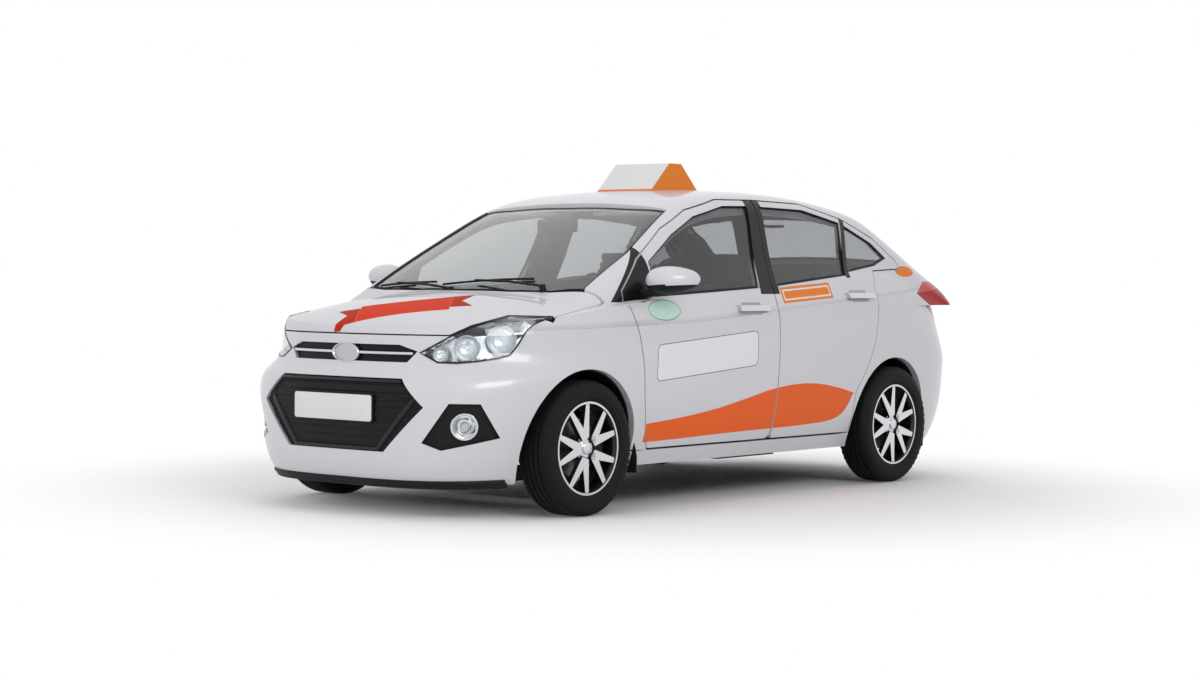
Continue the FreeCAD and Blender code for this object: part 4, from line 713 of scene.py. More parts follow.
print("helpers ready")

# %% [markdown]
# ## Tyres
# The CAD tyre is a smooth ring. A real one has four grooves round its tread, notched shoulders
# and a rib on its side wall. A profile with those steps is spun about the axle, then every third
# ring of the shoulder is pulled in. The fine cuts across the tread are bump, because hundreds of
# them would cost too many faces. A UV map runs round and across the tyre and carries them.

# %% Tyres
TYRE_STEPS = 160
WHEEL_BODY = "wheel_"


def tyre_profile(outer, half):
    """Half of the tyre's section from the middle of the tread to the bead: (across, radius)."""
    groove = 0.0065
    wall = ((0.965, 0.915), (0.985, 0.885), (1, 0.86), (1, 0.835), (0.995, 0.81), (0.98, 0.785),
            (0.985, 0.775), (0.985, 0.755), (0.95, 0.745), (0.90, 0.715), (0.85, 0.700),
            (0.78, 0.688))
    return [(0.0, outer), (0.010, outer), (0.011, outer - groove), (0.016, outer - groove),
            (0.017, outer), (0.038, outer - 0.0004), (0.039, outer - groove),
            (0.044, outer - groove), (0.045, outer - 0.0006), (half * 0.70, outer - 0.001),
            (half * 0.80, outer - 0.004), (half * 0.92, outer - 0.0135),
            *((half * across, outer * high) for across, high in wall), (half * 0.76, 0.2005)]


for wheel in WHEELS:
    low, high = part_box("tyre_" + wheel)
    middle = (Vector(low) + Vector(high)) / 2
    outer, half = (high[2] - low[2]) / 2, (high[1] - low[1]) / 2
    right_half = tyre_profile(outer, half)
    section = [(-across, radius) for across, radius in right_half[:0:-1]] + right_half
    bm = bmesh.new()
    turned(bm, section, middle, (0, 1, 0), TYRE_STEPS)
    bmesh.ops.remove_doubles(bm, verts=bm.verts, dist=1e-5)
    for vert in bm.verts:
        arm = vert.co - middle
        radius = math.hypot(arm.x, arm.z)
        step = round(math.atan2(arm.z, arm.x) / (2 * math.pi) * TYRE_STEPS)
        if step % 3 == 0 and abs(arm.y) > half * 0.75 and radius > outer * 0.93:
            vert.co -= Vector((arm.x, 0, arm.z)) * (0.0055 / radius)
    bmesh.ops.recalc_face_normals(bm, faces=bm.faces)
    around = bm.loops.layers.uv.new("around")
    for face in bm.faces:
        turns = [math.atan2(loop.vert.co.z - middle.z, loop.vert.co.x - middle.x) / (2 * math.pi)
                 for loop in face.loops]
        for loop, part in zip(face.loops, turns):
            if part < max(turns) - 0.5:
                part += 1
            arm = loop.vert.co - middle
            loop[around].uv = (part, (outer - math.hypot(arm.x, arm.z)) * 4 + 0.1)
    tyre = add_piece("road_tyre_" + wheel, bm, tread_rubber, WHEEL_BODY + wheel, 25)
    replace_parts(tyre, "tyre_" + wheel)
print("faces in a tyre:", len(tyre.data.polygons))

# %% [markdown]
# ## Wheel centres
# The alloy wheels are cut in CAD. What is added is small: a blank cap in the middle and four
# wheel bolts in dark cups round it. Each is turned from a short profile.

# %% Wheel centres
CAP_PROFILE = ((0.002, 0.0), (0.003, 0.012), (0.0015, 0.024), (-0.001, 0.027), (-0.012, 0.0275))
BOLT_PROFILE = ((0.000, 0.0), (0.0, 0.006), (-0.002, 0.0085), (-0.014, 0.0088))
CUP_PROFILE = ((-0.008, 0.0), (-0.008, 0.0105), (0.0006, 0.0135), (0.0006, 0.0155),
               (-0.009, 0.0158))
for wheel in WHEELS:
    low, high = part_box("rim_" + wheel)
    sign = 1 if high[1] > 0 else -1
    hub = Vector(((low[0] + high[0]) / 2, 0, (low[2] + high[2]) / 2))
    outside = Vector((0, sign, 0))
    face, _ = cast(["rim_" + wheel], hub + outside, -outside)
    bm = bmesh.new()
    turned(bm, CAP_PROFILE, face + outside * 0.006, outside, 40)
    add_piece("wheel_cap_" + wheel, bm, machined, WHEEL_BODY + wheel)
    bolts, cups = bmesh.new(), bmesh.new()
    for quarter in range(4):
        angle = math.radians(45 + 90 * quarter)
        spot = face + Vector((math.cos(angle) * 0.050, 0, math.sin(angle) * 0.050))
        top, _ = cast(["rim_" + wheel], spot + outside, -outside)
        turned(bolts, BOLT_PROFILE, top + outside * 0.0005, outside, 6)
        turned(cups, CUP_PROFILE, top, outside, 20)
    add_piece("wheel_bolts_" + wheel, bolts, steel, WHEEL_BODY + wheel, 20)
    add_piece("bolt_cups_" + wheel, cups, dark_alloy, WHEEL_BODY + wheel)
print("wheel bolts:", 4 * len(WHEELS))

# %% [markdown]
# ## Headlamps
# A lamp block from CAD is solid. A real one is a thin clear cover on a deep dish. The block's own
# mesh is parted by the way its faces look: those that look out become the cover, given a wall by
# solidify, and the rest become the dish. Reflector bowls and bulbs are turned and set behind it.

# %% Band round an open patch


def band_of(bm, width, lift, wall):
    """Keep only a band along the border of an open patch, lifted off it, with a wall."""
    bmesh.ops.dissolve_limit(bm, angle_limit=math.radians(0.6), verts=bm.verts[:],
                             edges=bm.edges[:])
    low = Vector([min(vert.co[axis] for vert in bm.verts) for axis in range(3)])
    high = Vector([max(vert.co[axis] for vert in bm.verts) for axis in range(3)])
    band = set(bmesh.ops.inset_region(bm, faces=bm.faces[:], thickness=width, use_even_offset=False,
                                      use_boundary=True)["faces"])
    bmesh.ops.delete(bm, geom=[face for face in bm.faces if face not in band], context="FACES")
    bm.normal_update()
    for vert in bm.verts:
        vert.co = Vector([min(max(vert.co[axis], low[axis]), high[axis]) for axis in range(3)])
        vert.co += vert.normal * lift
    bmesh.ops.solidify(bm, geom=bm.faces[:], thickness=-wall)


# %% Headlamps
LOOK_ANGLE = math.radians(40)
LAMP_BOWLS = ((-0.560, 0.765, 0.058, 0.030), (-0.705, 0.728, 0.052, 0.026),
              (-0.815, 0.700, 0.030, 0.018), (-0.455, 0.815, 0.024, 0.012))


def part_lamp(node, look, keep_low, keep_high):
    """Outward faces and the rest of a CAD lamp, each as a bmesh, on one side of the car."""
    return [part_of(node, lambda face, outward=outward:
                    keep_low <= face.calc_center_median().y <= keep_high
                    and (face.normal.dot(look) > 0.06) == outward) for outward in (True, False)]


for side, sign in SIDES.items():
    look = Vector((math.cos(LOOK_ANGLE), sign * math.sin(LOOK_ANGLE), 0))
    across = Vector((-math.sin(LOOK_ANGLE), sign * math.cos(LOOK_ANGLE), 0))
    reach = (0, 2) if sign > 0 else (-2, 0)
    cover, dish = part_lamp("front_lamps", look, *reach)
    outline = cover.copy()
    bmesh.ops.solidify(cover, geom=cover.faces[:], thickness=0.0025)
    add_piece("lamp_cover_" + side, cover, clear_lens, sharp=30)
    band_of(outline, 0.0065, 0.0012, 0.0016)
    bmesh.ops.delete(outline, geom=[face for face in outline.faces
                                    if face.calc_center_median().z < 0.56], context="FACES")
    add_piece("lamp_outline_" + side, outline, black_gloss, sharp=30)
    for face in dish.faces:
        face.material_index = 0 if face.normal.z > 0.55 else 1
    bmesh.ops.solidify(dish, geom=dish.faces[:], thickness=0.0012)
    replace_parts(add_piece("lamp_dish_" + side, dish, [black_gloss, reflector], sharp=30),
                "front_lamps")
    bowls, bulbs, rims = bmesh.new(), bmesh.new(), bmesh.new()
    for along, height, radius, behind in LAMP_BOWLS:
        start = across * along + Vector((0, 0, height)) + look * 3
        spot, _ = cast(["front_lamps"], start, -look)
        if spot is None:
            continue
        seat_spot = spot - look * behind
        turned(bowls, ((0.0, radius), (-radius * 0.35, radius * 0.88),
                       (-radius * 0.62, radius * 0.55), (-radius * 0.72, radius * 0.22),
                       (-radius * 0.74, 0.0)), seat_spot, look, 40)
        turned(rims, ((0.0, radius * 0.98), (0.003, radius * 1.0), (0.003, radius * 1.08),
                      (-0.004, radius * 1.10)), seat_spot, look, 40)
        turned(bulbs, ((0.0, 0.0), (-0.002, radius * 0.14), (-radius * 0.3, radius * 0.17),
                       (-radius * 0.7, radius * 0.17)), seat_spot, look, 20)
    add_piece("lamp_bowls_" + side, bowls, reflector)
    add_piece("lamp_rings_" + side, rims, chrome)
    add_piece("lamp_bulbs_" + side, bulbs, clear_lens)
print("headlamps dressed")

# %% [markdown]
# ## Grille, badge and plates
# The lower grille is a dark panel from CAD with thin level bars on it that follow the bumper's bow.
# Each bar is cast onto the panel at a row of places, so it keeps the bow. The upper slot carries a
# bright bar with an oval in its middle, which stays blank, and so do both plates.

# %% Grille bars
BAR_COUNT, BAR_LOW, BAR_PITCH = 9, 0.315, 0.0325
bars = bmesh.new()
for level in range(BAR_COUNT):
    height = BAR_LOW + BAR_PITCH * level
    row = row_of((front_spot("grilles", step * 0.0205, height) for step in range(-24, 25)),
                 FRONT * 0.0035)
    if len(row) > 4:
        bar(bars, row, 0.0032, round_steps=1)
add_piece("grille_bars", bars, black_plastic)

ledge = bmesh.new()
bar(ledge, row_of((front_spot("grilles", step * 0.02, 0.588) for step in range(-23, 24)),
                  FRONT * 0.006), 0.0085, round_steps=2)
add_piece("grille_ledge", ledge, black_gloss)

GRILLE_CORNERS = ((0.395, 0.604), (0.446, 0.535), (0.245, 0.296), (-0.245, 0.296), (-0.446, 0.535),
                  (-0.395, 0.604))
SIDE_STEPS = 12
frame_rows = bmesh.new()
row = []
for (y0, z0), (y1, z1) in zip(GRILLE_CORNERS, GRILLE_CORNERS[1:] + GRILLE_CORNERS[:1]):
    row += row_of((front_spot("grilles", y0 + (y1 - y0) * part / SIDE_STEPS,
                              z0 + (z1 - z0) * part / SIDE_STEPS) for part in range(SIDE_STEPS)),
                  -FRONT * 0.004)
bar(frame_rows, row, 0.014, closed=True, round_steps=3)
add_piece("grille_frame", frame_rows, black_gloss)

FOG_LOOK = Vector((0.766, 0.643, 0))
for side, sign in SIDES.items():
    look = Vector((FOG_LOOK.x, sign * FOG_LOOK.y, 0))
    spot, _ = cast(["front_lamps"], Vector((1.843, sign * 0.623, 0.404)) + look, -look)
    if spot is None:
        continue
    ring, bulb = bmesh.new(), bmesh.new()
    turned(ring, ((-0.004, 0.047), (0.003, 0.049), (0.0045, 0.053), (0.003, 0.0575),
                  (-0.006, 0.058)), spot, look, 48)
    add_piece("fog_ring_" + side, ring, chrome)
    turned(bulb, ((0.0015, 0.0), (0.0012, 0.010), (0.0002, 0.017), (-0.003, 0.019)), spot, look, 32)
    turned(bulb, ((0.0002, 0.029), (0.0014, 0.032), (0.0002, 0.035), (-0.003, 0.036)), spot, look,
           40)
    add_piece("fog_bulb_" + side, bulb, silver_trim)

chrome_bar = bmesh.new()
for sign in (1, -1):
    row = row_of((front_spot("grilles", sign * step * 0.020, 0.704) for step in range(4, 20)),
                 FRONT * 0.010)
    bar(chrome_bar, row, 0.0075, round_steps=3)
add_piece("bright_bar", chrome_bar, chrome)

# %% Blank oval
oval = bmesh.new()
BADGE_SIZE = (1, 0.082, 0.043)
badge_at = front_spot("grilles", 0, 0.702) + FRONT * 0.018
turned(oval, ((-0.010, 1.0), (0.000, 1.0), (0.004, 0.96), (0.004, 0.90), (0.000, 0.86),
              (-0.004, 0.85)), (0, 0, 0), FRONT, 64)
bmesh.ops.scale(oval, vec=BADGE_SIZE, verts=oval.verts)
shift(oval, oval.verts, badge_at)
add_piece("badge_ring", oval, chrome)
blank = bmesh.new()
turned(blank, ((-0.002, 0.0), (-0.0022, 0.4), (-0.003, 0.7), (-0.004, 0.86), (-0.012, 0.90)),
       (0, 0, 0), FRONT, 64)
bmesh.ops.scale(blank, vec=BADGE_SIZE, verts=blank.verts)
shift(blank, blank.verts, badge_at)
add_piece("badge_blank", blank, silver_trim)

# %% Number plates
PLATE_WIDE, PLATE_TALL = 0.470, 0.112


def number_plate(name, at, outward):
    """Blank plate with rounded corners in a dark frame."""
    across = Vector((0, 1 if outward.x > 0 else -1, 0))
    for part, wide, tall, deep, back, finish_of in (
            ("_frame", PLATE_WIDE + 0.016, PLATE_TALL + 0.016, 0.006, 0.000, black_plastic),
            ("_blank", PLATE_WIDE, PLATE_TALL, 0.003, 0.006, plate_white)):
        bm = bmesh.new()
        sheet_of(bm, across, (0, 0, 1), 0.012, Vector(at) + outward * back, wide, tall, (4, 2))
        raised(bm, bm.faces[:], outward * deep)
        soften(bm, 0.001, 2, 50)
        add_piece(name + part, bm, finish_of, "shell" if outward.x > 0 else "boot_lid_body")


spots = [front_spot("grilles", y, z) for y in (-0.23, 0, 0.23) for z in (0.43, 0.52)]
plate_x = max(spot.x for spot in spots if spot)
number_plate("front_plate", (plate_x + 0.001, -0.012, 0.470), FRONT)
spots = [rear_spot("boot_lid", y, z) for y in (-0.2, 0, 0.2) for z in (0.80, 0.86)]
plate_x = min(spot.x for spot in spots if spot)
number_plate("rear_plate", (plate_x - 0.001, 0, 0.845), -FRONT)
print("plates set at", round(plate_x, 3))

# %% [markdown]
# ## Black rubber, cowl and wipers
# The window panes sit in black seals. Each seal is the outer face of the CAD pane with its middle
# inset and removed, so it follows the curve of the glass. The strip at the foot of the windscreen
# and the wipers are black plastic and lie on the glass.

# %% Window seals
SEALS = {"door_glass_front_": ("front_door_", 0.011), "door_glass_rear_": ("rear_door_", 0.011)}


def seal(name, node, body, width, look):
    """Black band round the outer face of a pane."""
    bm = part_of(node, lambda face: face.normal.dot(Vector(look)) >= 0.25)
    band_of(bm, width, 0.0008, 0.0012)
    add_piece(name, bm, seal_rubber, body, 30)


for side, sign in SIDES.items():
    for stem, (body, width) in SEALS.items():
        seal("seal_" + stem + side, stem + side, body + side, width, (0, sign, 0))
seal("seal_windscreen", "windscreen", "shell", 0.014, (0.6, 0, 0.8))
seal("seal_rear_window", "rear_window", "shell", 0.014, (-0.5, 0, 0.85))

# %% Cowl and wipers
cowl = bmesh.new()
bmesh.ops.create_grid(cowl, x_segments=3, y_segments=44, size=0.5)
for vert in cowl.verts:
    y = vert.co.y * 1.36
    foot, _ = cast(["windscreen"], (2.0, y * 0.94, 0.985 + 0.05 * abs(y) ** 2), -FRONT)
    ahead = foot.x if foot else 1.16
    share = vert.co.x + 0.5
    vert.co = Vector((ahead - 0.004 + share * 0.050, y,
                      0.981 - share * 0.030 - 0.045 * abs(y) ** 3))
bmesh.ops.solidify(cowl, geom=cowl.faces[:], thickness=0.004)
add_piece("cowl_strip", cowl, black_plastic)

WIPERS = (((1.178, 0.470), (1.115, 0.200), (1.160, -0.130)),
          ((1.195, -0.070), (1.135, -0.330), (1.125, -0.600)))
for number, (pivot, elbow, tip) in enumerate(WIPERS):
    arm, blade = bmesh.new(), bmesh.new()
    points = [cast(["windscreen"], (x, y, 2), (0, 0, -1)) for x, y in (pivot, elbow, tip)]
    if any(spot is None for spot, _ in points):
        points = [(spot or Vector((x, y, 0.985)), normal or Vector((0.5, 0, 0.86)))
                  for (spot, normal), (x, y) in zip(points, (pivot, elbow, tip))]
    (foot, lean), (bend, _), (end, _) = points
    middle = (bend + end) / 2
    turned(arm, ((-0.02, 0.016), (0.010, 0.015), (0.016, 0.010), (0.017, 0.0)), foot,
           (0.3, 0, 0.95), 24)
    bar(arm, [foot + lean * 0.010, foot.lerp(middle, 0.5) + lean * 0.022, middle + lean * 0.016],
        0.0055)
    row = []
    for share in range(13):
        place_x = elbow[0] + (tip[0] - elbow[0]) * (share / 12 * 1.5 - 0.45)
        place_y = elbow[1] + (tip[1] - elbow[1]) * (share / 12 * 1.5 - 0.45)
        spot, normal = cast(["windscreen"], (place_x, place_y, 2), (0, 0, -1))
        if spot:
            row.append(spot + normal * 0.0075)
    bar(blade, row, 0.0050)
    add_piece("wiper_arm_%d" % (number + 1), arm, black_plastic)
    add_piece("wiper_blade_%d" % (number + 1), blade, seal_rubber)
print("seals, cowl and wipers in place")

# %% [markdown]
# ## Mirrors, handles and flaps
# A door mirror is an egg-shaped shell, cut off behind for its glass, on a black foot. It starts as
# a ball of faces that is stretched, swept back and cut by a plane. Behind every door handle there
# is a shallow cup for the fingers: a rounded sheet laid on the door, grey as painted shade of the
# recess.

# %% Mirrors and handle cups
MIRROR_AT, MIRROR_HALF = (0.785, 0.890, 1.024), (0.098, 0.112, 0.062)
for side, sign in SIDES.items():
    shell = bmesh.new()
    bmesh.ops.create_uvsphere(shell, u_segments=48, v_segments=28, radius=1)
    for vert in shell.verts:
        x, y, z = vert.co
        square = max(abs(x), abs(y), abs(z))
        vert.co *= 1 + 0.10 * (1 - square)
        vert.co = Vector((vert.co.x * MIRROR_HALF[0], vert.co.y * MIRROR_HALF[1],
                          vert.co.z * MIRROR_HALF[2] * (1 - 0.16 * vert.co.y)))
        vert.co.x -= 0.24 * max(vert.co.y, -0.06) + 0.9 * max(0.0, vert.co.y - 0.03) ** 2 * 4
        vert.co.z += 0.04 * vert.co.y
    cut_at = Vector((-0.040, 0, 0))
    made = bmesh.ops.bisect_plane(
        shell, geom=shell.verts[:] + shell.edges[:] + shell.faces[:], plane_co=cut_at,
        plane_no=(-1, -0.20, 0), clear_outer=True)["geom_cut"]
    rim_edges = [item for item in made if isinstance(item, bmesh.types.BMEdge)]
    face = bmesh.ops.contextual_create(shell, geom=rim_edges)["faces"]
    inner = bmesh.ops.inset_region(shell, faces=face, thickness=0.006,
                                   use_even_offset=True)["faces"]
    shift(shell, list({vert for one in face for vert in one.verts}), (0.010, 0, 0))
    for one in shell.faces:
        dark = one.calc_center_median().z < -0.022 or one in face or one in inner
        one.material_index = 1 if dark else 0
    glass = bmesh.new()
    glass_face = glass.faces.new([glass.verts.new(vert.co) for vert in face[0].verts])
    bmesh.ops.inset_region(glass, faces=[glass_face], thickness=0.004, use_even_offset=True)
    bmesh.ops.solidify(glass, geom=glass.faces[:], thickness=0.003)
    shift(glass, glass.verts, (-0.003, 0, 0))
    arm = bmesh.new()
    bar(arm, [(0.045, -0.150, -0.058), (0.040, -0.120, -0.060), (0.025, -0.075, -0.056),
              (0.005, -0.030, -0.045)], 0.018, round_steps=4)
    for piece_mesh in (shell, glass, arm):
        for vert in piece_mesh.verts:
            vert.co = Vector((vert.co.x + MIRROR_AT[0], sign * (vert.co.y + MIRROR_AT[1]),
                              vert.co.z + MIRROR_AT[2]))
    body_of_door = "front_door_" + side
    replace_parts(add_piece("mirror_shell_" + side, shell, [paint, black_plastic], body_of_door, 35),
                "mirror_" + side)
    add_piece("mirror_glass_" + side, glass, mirror_silver, body_of_door)
    add_piece("mirror_arm_" + side, arm, black_plastic, body_of_door)
    for place_of, body in (("front", "front_door_"), ("rear", "rear_door_")):
        low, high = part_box("handle_%s_%s" % (place_of, side))
        # Painted shade: a flat grey sheet on the door stands for the shaded finger recess behind the
        # handle.
        cup = bmesh.new()
        sheet_of(cup, (1, 0, 0), (0, 0, 1), 0.024,
                 ((low[0] + high[0]) / 2, sign, (low[2] + high[2]) / 2 - 0.003),
                 (high[0] - low[0]) * 0.66, 0.058, (14, 6))
        drape(cup, ["door_%s_%s" % (place_of, side)], (0, -sign, 0), 0.0007)
        add_piece("handle_cup_%s_%s" % (place_of, side), cup, cup_shade_and_sensor_grey, body + side)
        if (place_of, side) == ("front", "left"):
            lock = bmesh.new()
            at = (low[0] - 0.010, OUTSIDE, (low[2] + high[2]) / 2)
            spot, normal = cast(["door_front_left"], at, (0, -1, 0))
            turned(lock, ((0.0, 0.0), (0.0015, 0.006), (0.001, 0.011), (-0.003, 0.012)), spot,
                   normal, 24)
            add_piece("door_lock", lock, chrome, body + side)

# %% Wheel houses
WHEEL_HOUSES = (("front", 1.2625, 0.462, 0.30), ("rear", -1.1625, 0.600, 0.24))
HOUSE_REACH, HOUSE_RISE = 0.375, 0.385
for place_of, at_x, at_y, low_z in WHEEL_HOUSES:
    for side, sign in SIDES.items():
        house = bmesh.new()
        arch = [(at_x + math.cos(math.radians(angle)) * HOUSE_REACH, sign * at_y,
                 0.300 + math.sin(math.radians(angle)) * HOUSE_RISE) for angle in range(0, 181, 12)]
        slab(house, arch + [(at_x - HOUSE_REACH, sign * at_y, low_z),
                            (at_x + HOUSE_REACH, sign * at_y, low_z)], (0, -sign * 0.003, 0))
        add_piece("wheel_house_%s_%s" % (place_of, side), house, black_plastic)

# %% Mud flaps and dark lips
for side, sign in SIDES.items():
    for place_of, at_x, low_z in (("front", 0.905, 0.165), ("rear", -1.485, 0.165)):
        flap = bmesh.new()
        slab(flap, [(at_x, sign * 0.640, 0.300), (at_x, sign * 0.778, 0.300),
                    (at_x - 0.008, sign * 0.786, 0.240), (at_x - 0.012, sign * 0.782, low_z),
                    (at_x - 0.012, sign * 0.650, low_z)], (-0.006, 0, 0))
        soften(flap, 0.0015)
        add_piece("mud_flap_%s_%s" % (place_of, side), flap, black_plastic)
lip = bmesh.new()
row = row_of((front_spot("front_bumper", step * 0.0235, 0.168) for step in range(-30, 31)),
             (-0.009, 0, -0.006))
bar(lip, row, 0.014, round_steps=3)
bar(lip, [spot + Vector((-0.014, 0, -0.016)) for spot in row], 0.013, round_steps=3)
add_piece("front_lip", lip, black_plastic)
print("flaps and lip in place")

# %% [markdown]
# ## Seats
# A car seat is foam under tight cloth. Each CAD cushion is copied, remeshed to even small faces and
# drawn in a little. Cloth simulation with air pressure then swells it, which crowns the faces and
# keeps the corners drawn in, and no point may move further than a cap.

# %% Padded pieces
VOXEL, DRAW_IN, CAP = 0.013, 0.010, 0.014


def pad(name, node, keep_low, keep_high):
    """Swollen copy of a CAD cushion between two values of y."""
    bm = part_of(node, lambda face: keep_low <= face.calc_center_median().y <= keep_high)
    mesh = bpy.data.meshes.new(name)
    bm.to_mesh(mesh)
    bm.free()
    piece = add_object(name, mesh)
    remesh = piece.modifiers.new("even", "REMESH")
    remesh.mode, remesh.voxel_size = "VOXEL", VOXEL
    smooth = piece.modifiers.new("ease", "SMOOTH")
    smooth.factor, smooth.iterations = 0.6, 5
    graph = bpy.context.evaluated_depsgraph_get()
    even = bpy.data.meshes.new_from_object(piece.evaluated_get(graph))
    piece.modifiers.clear()
    piece.data = even
    normals = [vert.normal.copy() for vert in even.vertices]
    for vert, normal in zip(even.vertices, normals):
        vert.co -= normal * DRAW_IN
    before = [vert.co.copy() for vert in even.vertices]
    foam = piece.modifiers.new("foam", "CLOTH")
    foam.settings.use_pressure = True
    foam.settings.uniform_pressure_force = 4
    foam.settings.quality = 4
    foam.settings.effector_weights.gravity = 0
    foam.point_cache.frame_end = 14
    for step in range(1, 15):
        scene.frame_set(step)
    swollen = bpy.data.meshes.new_from_object(
        piece.evaluated_get(bpy.context.evaluated_depsgraph_get()))
    piece.modifiers.clear()
    moves = [vert.co - start for vert, start in zip(swollen.vertices, before)]
    for vert, start, move in zip(even.vertices, before, moves):
        vert.co = start + move * min(1.0, CAP / max(move.length, 1e-6))
    scene.frame_set(1)
    even.materials.clear()
    even.materials.append(cloth)
    even.shade_smooth()
    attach(piece, "shell")
    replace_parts(piece, node)
    return piece


PADS = (("front_cushion_left", "seat_cushions", 0, 1),
        ("front_cushion_right", "seat_cushions", -1, 0),
        ("front_back_left", "seat_backs", 0, 1), ("front_back_right", "seat_backs", -1, 0),
        ("head_rest_left", "head_rests", 0, 1), ("head_rest_right", "head_rests", -1, 0),
        ("bench_cushion", "rear_bench", -1, 1), ("bench_back", "rear_seat_back", -1, 1))
for pad_name, node_name, pad_low, pad_high in PADS:
    made_pad = pad(pad_name, node_name, pad_low, pad_high)
print("padded pieces:", len(PADS), "faces in the last:", len(made_pad.data.polygons))

# %% [markdown]
# ## Dashboard and what one sees through the glass
# Through the windscreen one sees the hood over the instruments, the top of the dashboard and the
# mirror on its stem. Small softened blocks and turned rings make them, round the CAD dashboard.

# %% Cabin pieces
dash_hood = bmesh.new()
slab(dash_hood, [(0.600, 0.215, 0.905), (0.600, 0.240, 0.958), (0.600, 0.300, 0.978),
                 (0.600, 0.440, 0.978), (0.600, 0.500, 0.958), (0.600, 0.525, 0.905)],
     (0.120, 0, -0.010))
soften(dash_hood, 0.010, 3)
add_piece("instrument_hood", dash_hood, grey_plastic, sharp=50)
dials = bmesh.new()
for y in (0.300, 0.440):
    turned(dials, ((0.0, 0.0), (0.0, 0.044), (0.006, 0.047), (0.006, 0.052), (-0.004, 0.053)),
           (0.598, y, 0.932), (-1, 0, 0.2), 32)
add_piece("dial_rings", dials, silver_trim)
spot, _ = cast(["dashboard"], (-0.3, 0, 0.85), FRONT)
dash_x = spot.x if spot else 0.56
soft_blocks("centre_panel", [((dash_x - 0.010, -0.110, 0.775), (dash_x + 0.004, 0.110, 0.885))],
            0.006, 3, black_gloss, sharp=50)
vents = bmesh.new()
for y in (-0.585, -0.145, 0.145, 0.600):
    spot, _ = cast(["dashboard"], (-0.3, y, 0.84), FRONT)
    if spot:
        turned(vents, ((0.001, 0.026), (0.004, 0.030), (0.002, 0.036), (-0.004, 0.037)), spot,
               (-1, 0, 0.1), 28)
        for blade in (-0.012, 0, 0.012):
            brick(vents, (spot.x - 0.003, y - 0.024, spot.z + blade - 0.0015),
                  (spot.x + 0.002, y + 0.024, spot.z + blade + 0.0015))
add_piece("air_vents", vents, silver_trim)
inside_mirror = bmesh.new()
brick(inside_mirror, (0.520, -0.122, 1.243), (0.545, 0.122, 1.303))
soften(inside_mirror, 0.011, 4)
top, _ = cast(["windscreen"], (0.56, 0, 0), (0, 0, 1))
stem_x, stem_z = (top.x, top.z) if top else (0.56, 1.31)
bar(inside_mirror, [(0.540, 0, 1.280), (0.556, 0, 1.300), (stem_x, 0, stem_z - 0.003)], 0.008,
    round_steps=3)
add_piece("inside_mirror", inside_mirror, black_plastic, sharp=50)
visor_boxes = []
for y in (-0.33, 0.33):
    roof_spot, _ = cast(["roof_panel", "windscreen"], (0.36, y, 1.0), (0, 0, 1))
    if roof_spot:
        top_z = roof_spot.z
        visor_boxes.append(((0.29, y - 0.20, top_z - 0.034), (0.43, y + 0.20, top_z - 0.016)))
soft_blocks("sun_visors", visor_boxes, 0.006, 3, beige_plastic, sharp=50)
stalks = bmesh.new()
for y, tip in ((0.435, 0.545), (0.305, 0.195)):
    bar(stalks, [(0.530, y, 0.930), (0.500, (y + tip) / 2, 0.938), (0.480, tip, 0.950)], 0.007,
        round_steps=3)
add_piece("column_stalks", stalks, black_plastic)
gear = bmesh.new()
turned(gear, ((0.115, 0.0), (0.112, 0.016), (0.095, 0.022), (0.070, 0.014), (0.060, 0.007),
              (0.0, 0.008)), (0.33, 0, 0.40), (-0.15, 0, 1), 28)
turned(gear, ((0.030, 0.0), (0.028, 0.020), (0.010, 0.045), (-0.02, 0.055)), (0.33, 0, 0.385),
       (0, 0, 1), 28)
add_piece("gear_lever", gear, black_plastic)
print("cabin dressed")

# %% [markdown]
# ## Rear trim
# From behind one sees a bright strip over the plate, a small lamp on each side of it, reflectors in
# the bumper and the end of the exhaust, which is the CAD pipe. The rest are small pieces laid on the
# CAD panels.

# %% Rear trim
strip = bmesh.new()
bar(strip, row_of((rear_spot("boot_lid", step * 0.0145, 0.915) for step in range(-20, 21)),
                  -FRONT * 0.004), 0.0095, round_steps=3)
add_piece("boot_strip", strip, chrome, "boot_lid_body")
for side, sign in SIDES.items():
    reflector_strip = bmesh.new()
    sheet_of(reflector_strip, (0, 1, 0), (0, 0, 1), 0.010, (-OUTSIDE, sign * 0.585, 0.395), 0.150,
             0.034, (10, 3))
    drape(reflector_strip, ["rear_bumper"], (1, 0, 0), 0.0016)
    bmesh.ops.solidify(reflector_strip, geom=reflector_strip.faces[:], thickness=0.003)
    add_piece("bumper_reflector_" + side, reflector_strip, red_lens)
    soft_blocks("plate_lamp_" + side, [((-1.952, sign * 0.12 - 0.02, 0.900),
                                        (-1.930, sign * 0.12 + 0.02, 0.908))],
                0.002, 2, clear_lens, "boot_lid_body")
sensor = bmesh.new()
for y in (-0.42, -0.14, 0.14, 0.42):
    spot, normal = cast(["rear_bumper"], (-3, y, 0.520), FRONT)
    turned(sensor, ((0.0, 0.0), (0.0012, 0.006), (0.001, 0.009), (-0.002, 0.0095)),
           spot - normal * 0.0014, normal, 20)
add_piece("parking_sensors", sensor, cup_shade_and_sensor_grey)
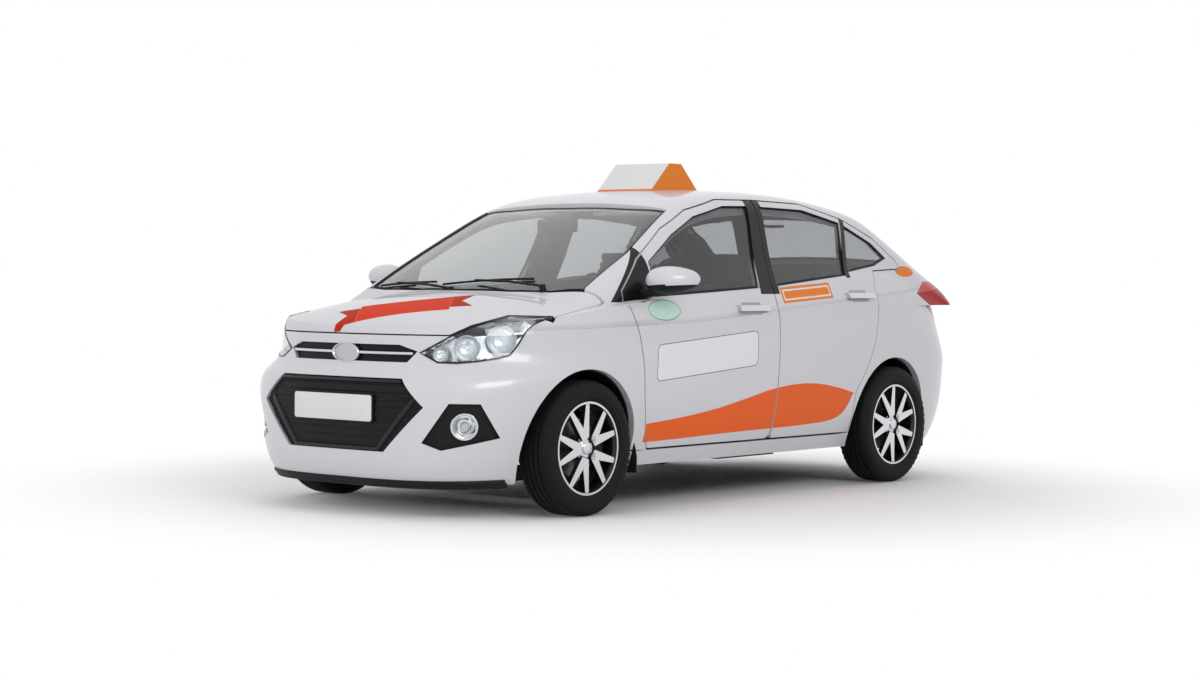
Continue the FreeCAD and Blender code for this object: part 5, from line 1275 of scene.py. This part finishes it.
soft_blocks("high_stop_lamp", [((-1.150, -0.130, 1.300), (-1.125, 0.130, 1.318))], 0.004, 2,
            red_lens)
print("rear trim in place")

# %% [markdown]
# ## The floor
# The floor is pale and takes the car's shadow. Lamps fade with distance, so a real floor would turn
# grey far off. To the camera and to mirrors it therefore glows white more and more from a few
# metres on, and meets the white world with no line. Light that it sends to the car stays plain.

# %% Floor
floor_paint = bpy.data.materials.new("studio_floor")
floor_paint.use_nodes = True
floor_tree = floor_paint.node_tree
floor_shader = floor_tree.nodes["Principled BSDF"]
floor_shader.inputs["Base Color"].default_value = (0.90, 0.90, 0.90, 1)
floor_shader.inputs["Roughness"].default_value = 0.8
floor_place = floor_tree.nodes.new("ShaderNodeTexCoord")
floor_far = floor_tree.nodes.new("ShaderNodeVectorMath")
floor_far.operation = "LENGTH"
wire(floor_tree, floor_place.outputs["Object"], floor_far.inputs[0])
floor_ramp = floor_tree.nodes.new("ShaderNodeMapRange")
floor_ramp.interpolation_type = "SMOOTHSTEP"
floor_ramp.inputs["From Min"].default_value = 1.1
floor_ramp.inputs["From Max"].default_value = 3.3
wire(floor_tree, floor_far.outputs["Value"], floor_ramp.inputs["Value"])
white = floor_tree.nodes.new("ShaderNodeEmission")
white.inputs["Strength"].default_value = 1.0
fade = floor_tree.nodes.new("ShaderNodeMixShader")
wire(floor_tree, math_node(floor_tree, "MULTIPLY", floor_ramp.outputs["Result"],
                           seen_or_mirrored(floor_tree)), fade.inputs["Fac"])
wire(floor_tree, floor_shader.outputs["BSDF"], fade.inputs[1])
wire(floor_tree, white.outputs["Emission"], fade.inputs[2])
wire(floor_tree, fade.outputs["Shader"], floor_tree.nodes["Material Output"].inputs["Surface"])
bm = bmesh.new()
bmesh.ops.create_grid(bm, x_segments=1, y_segments=1, size=30)
floor_mesh = bpy.data.meshes.new("studio_floor")
bm.to_mesh(floor_mesh)
bm.free()
floor_mesh.materials.append(floor_paint)
floor = add_object("studio_floor", floor_mesh)
print("floor laid")
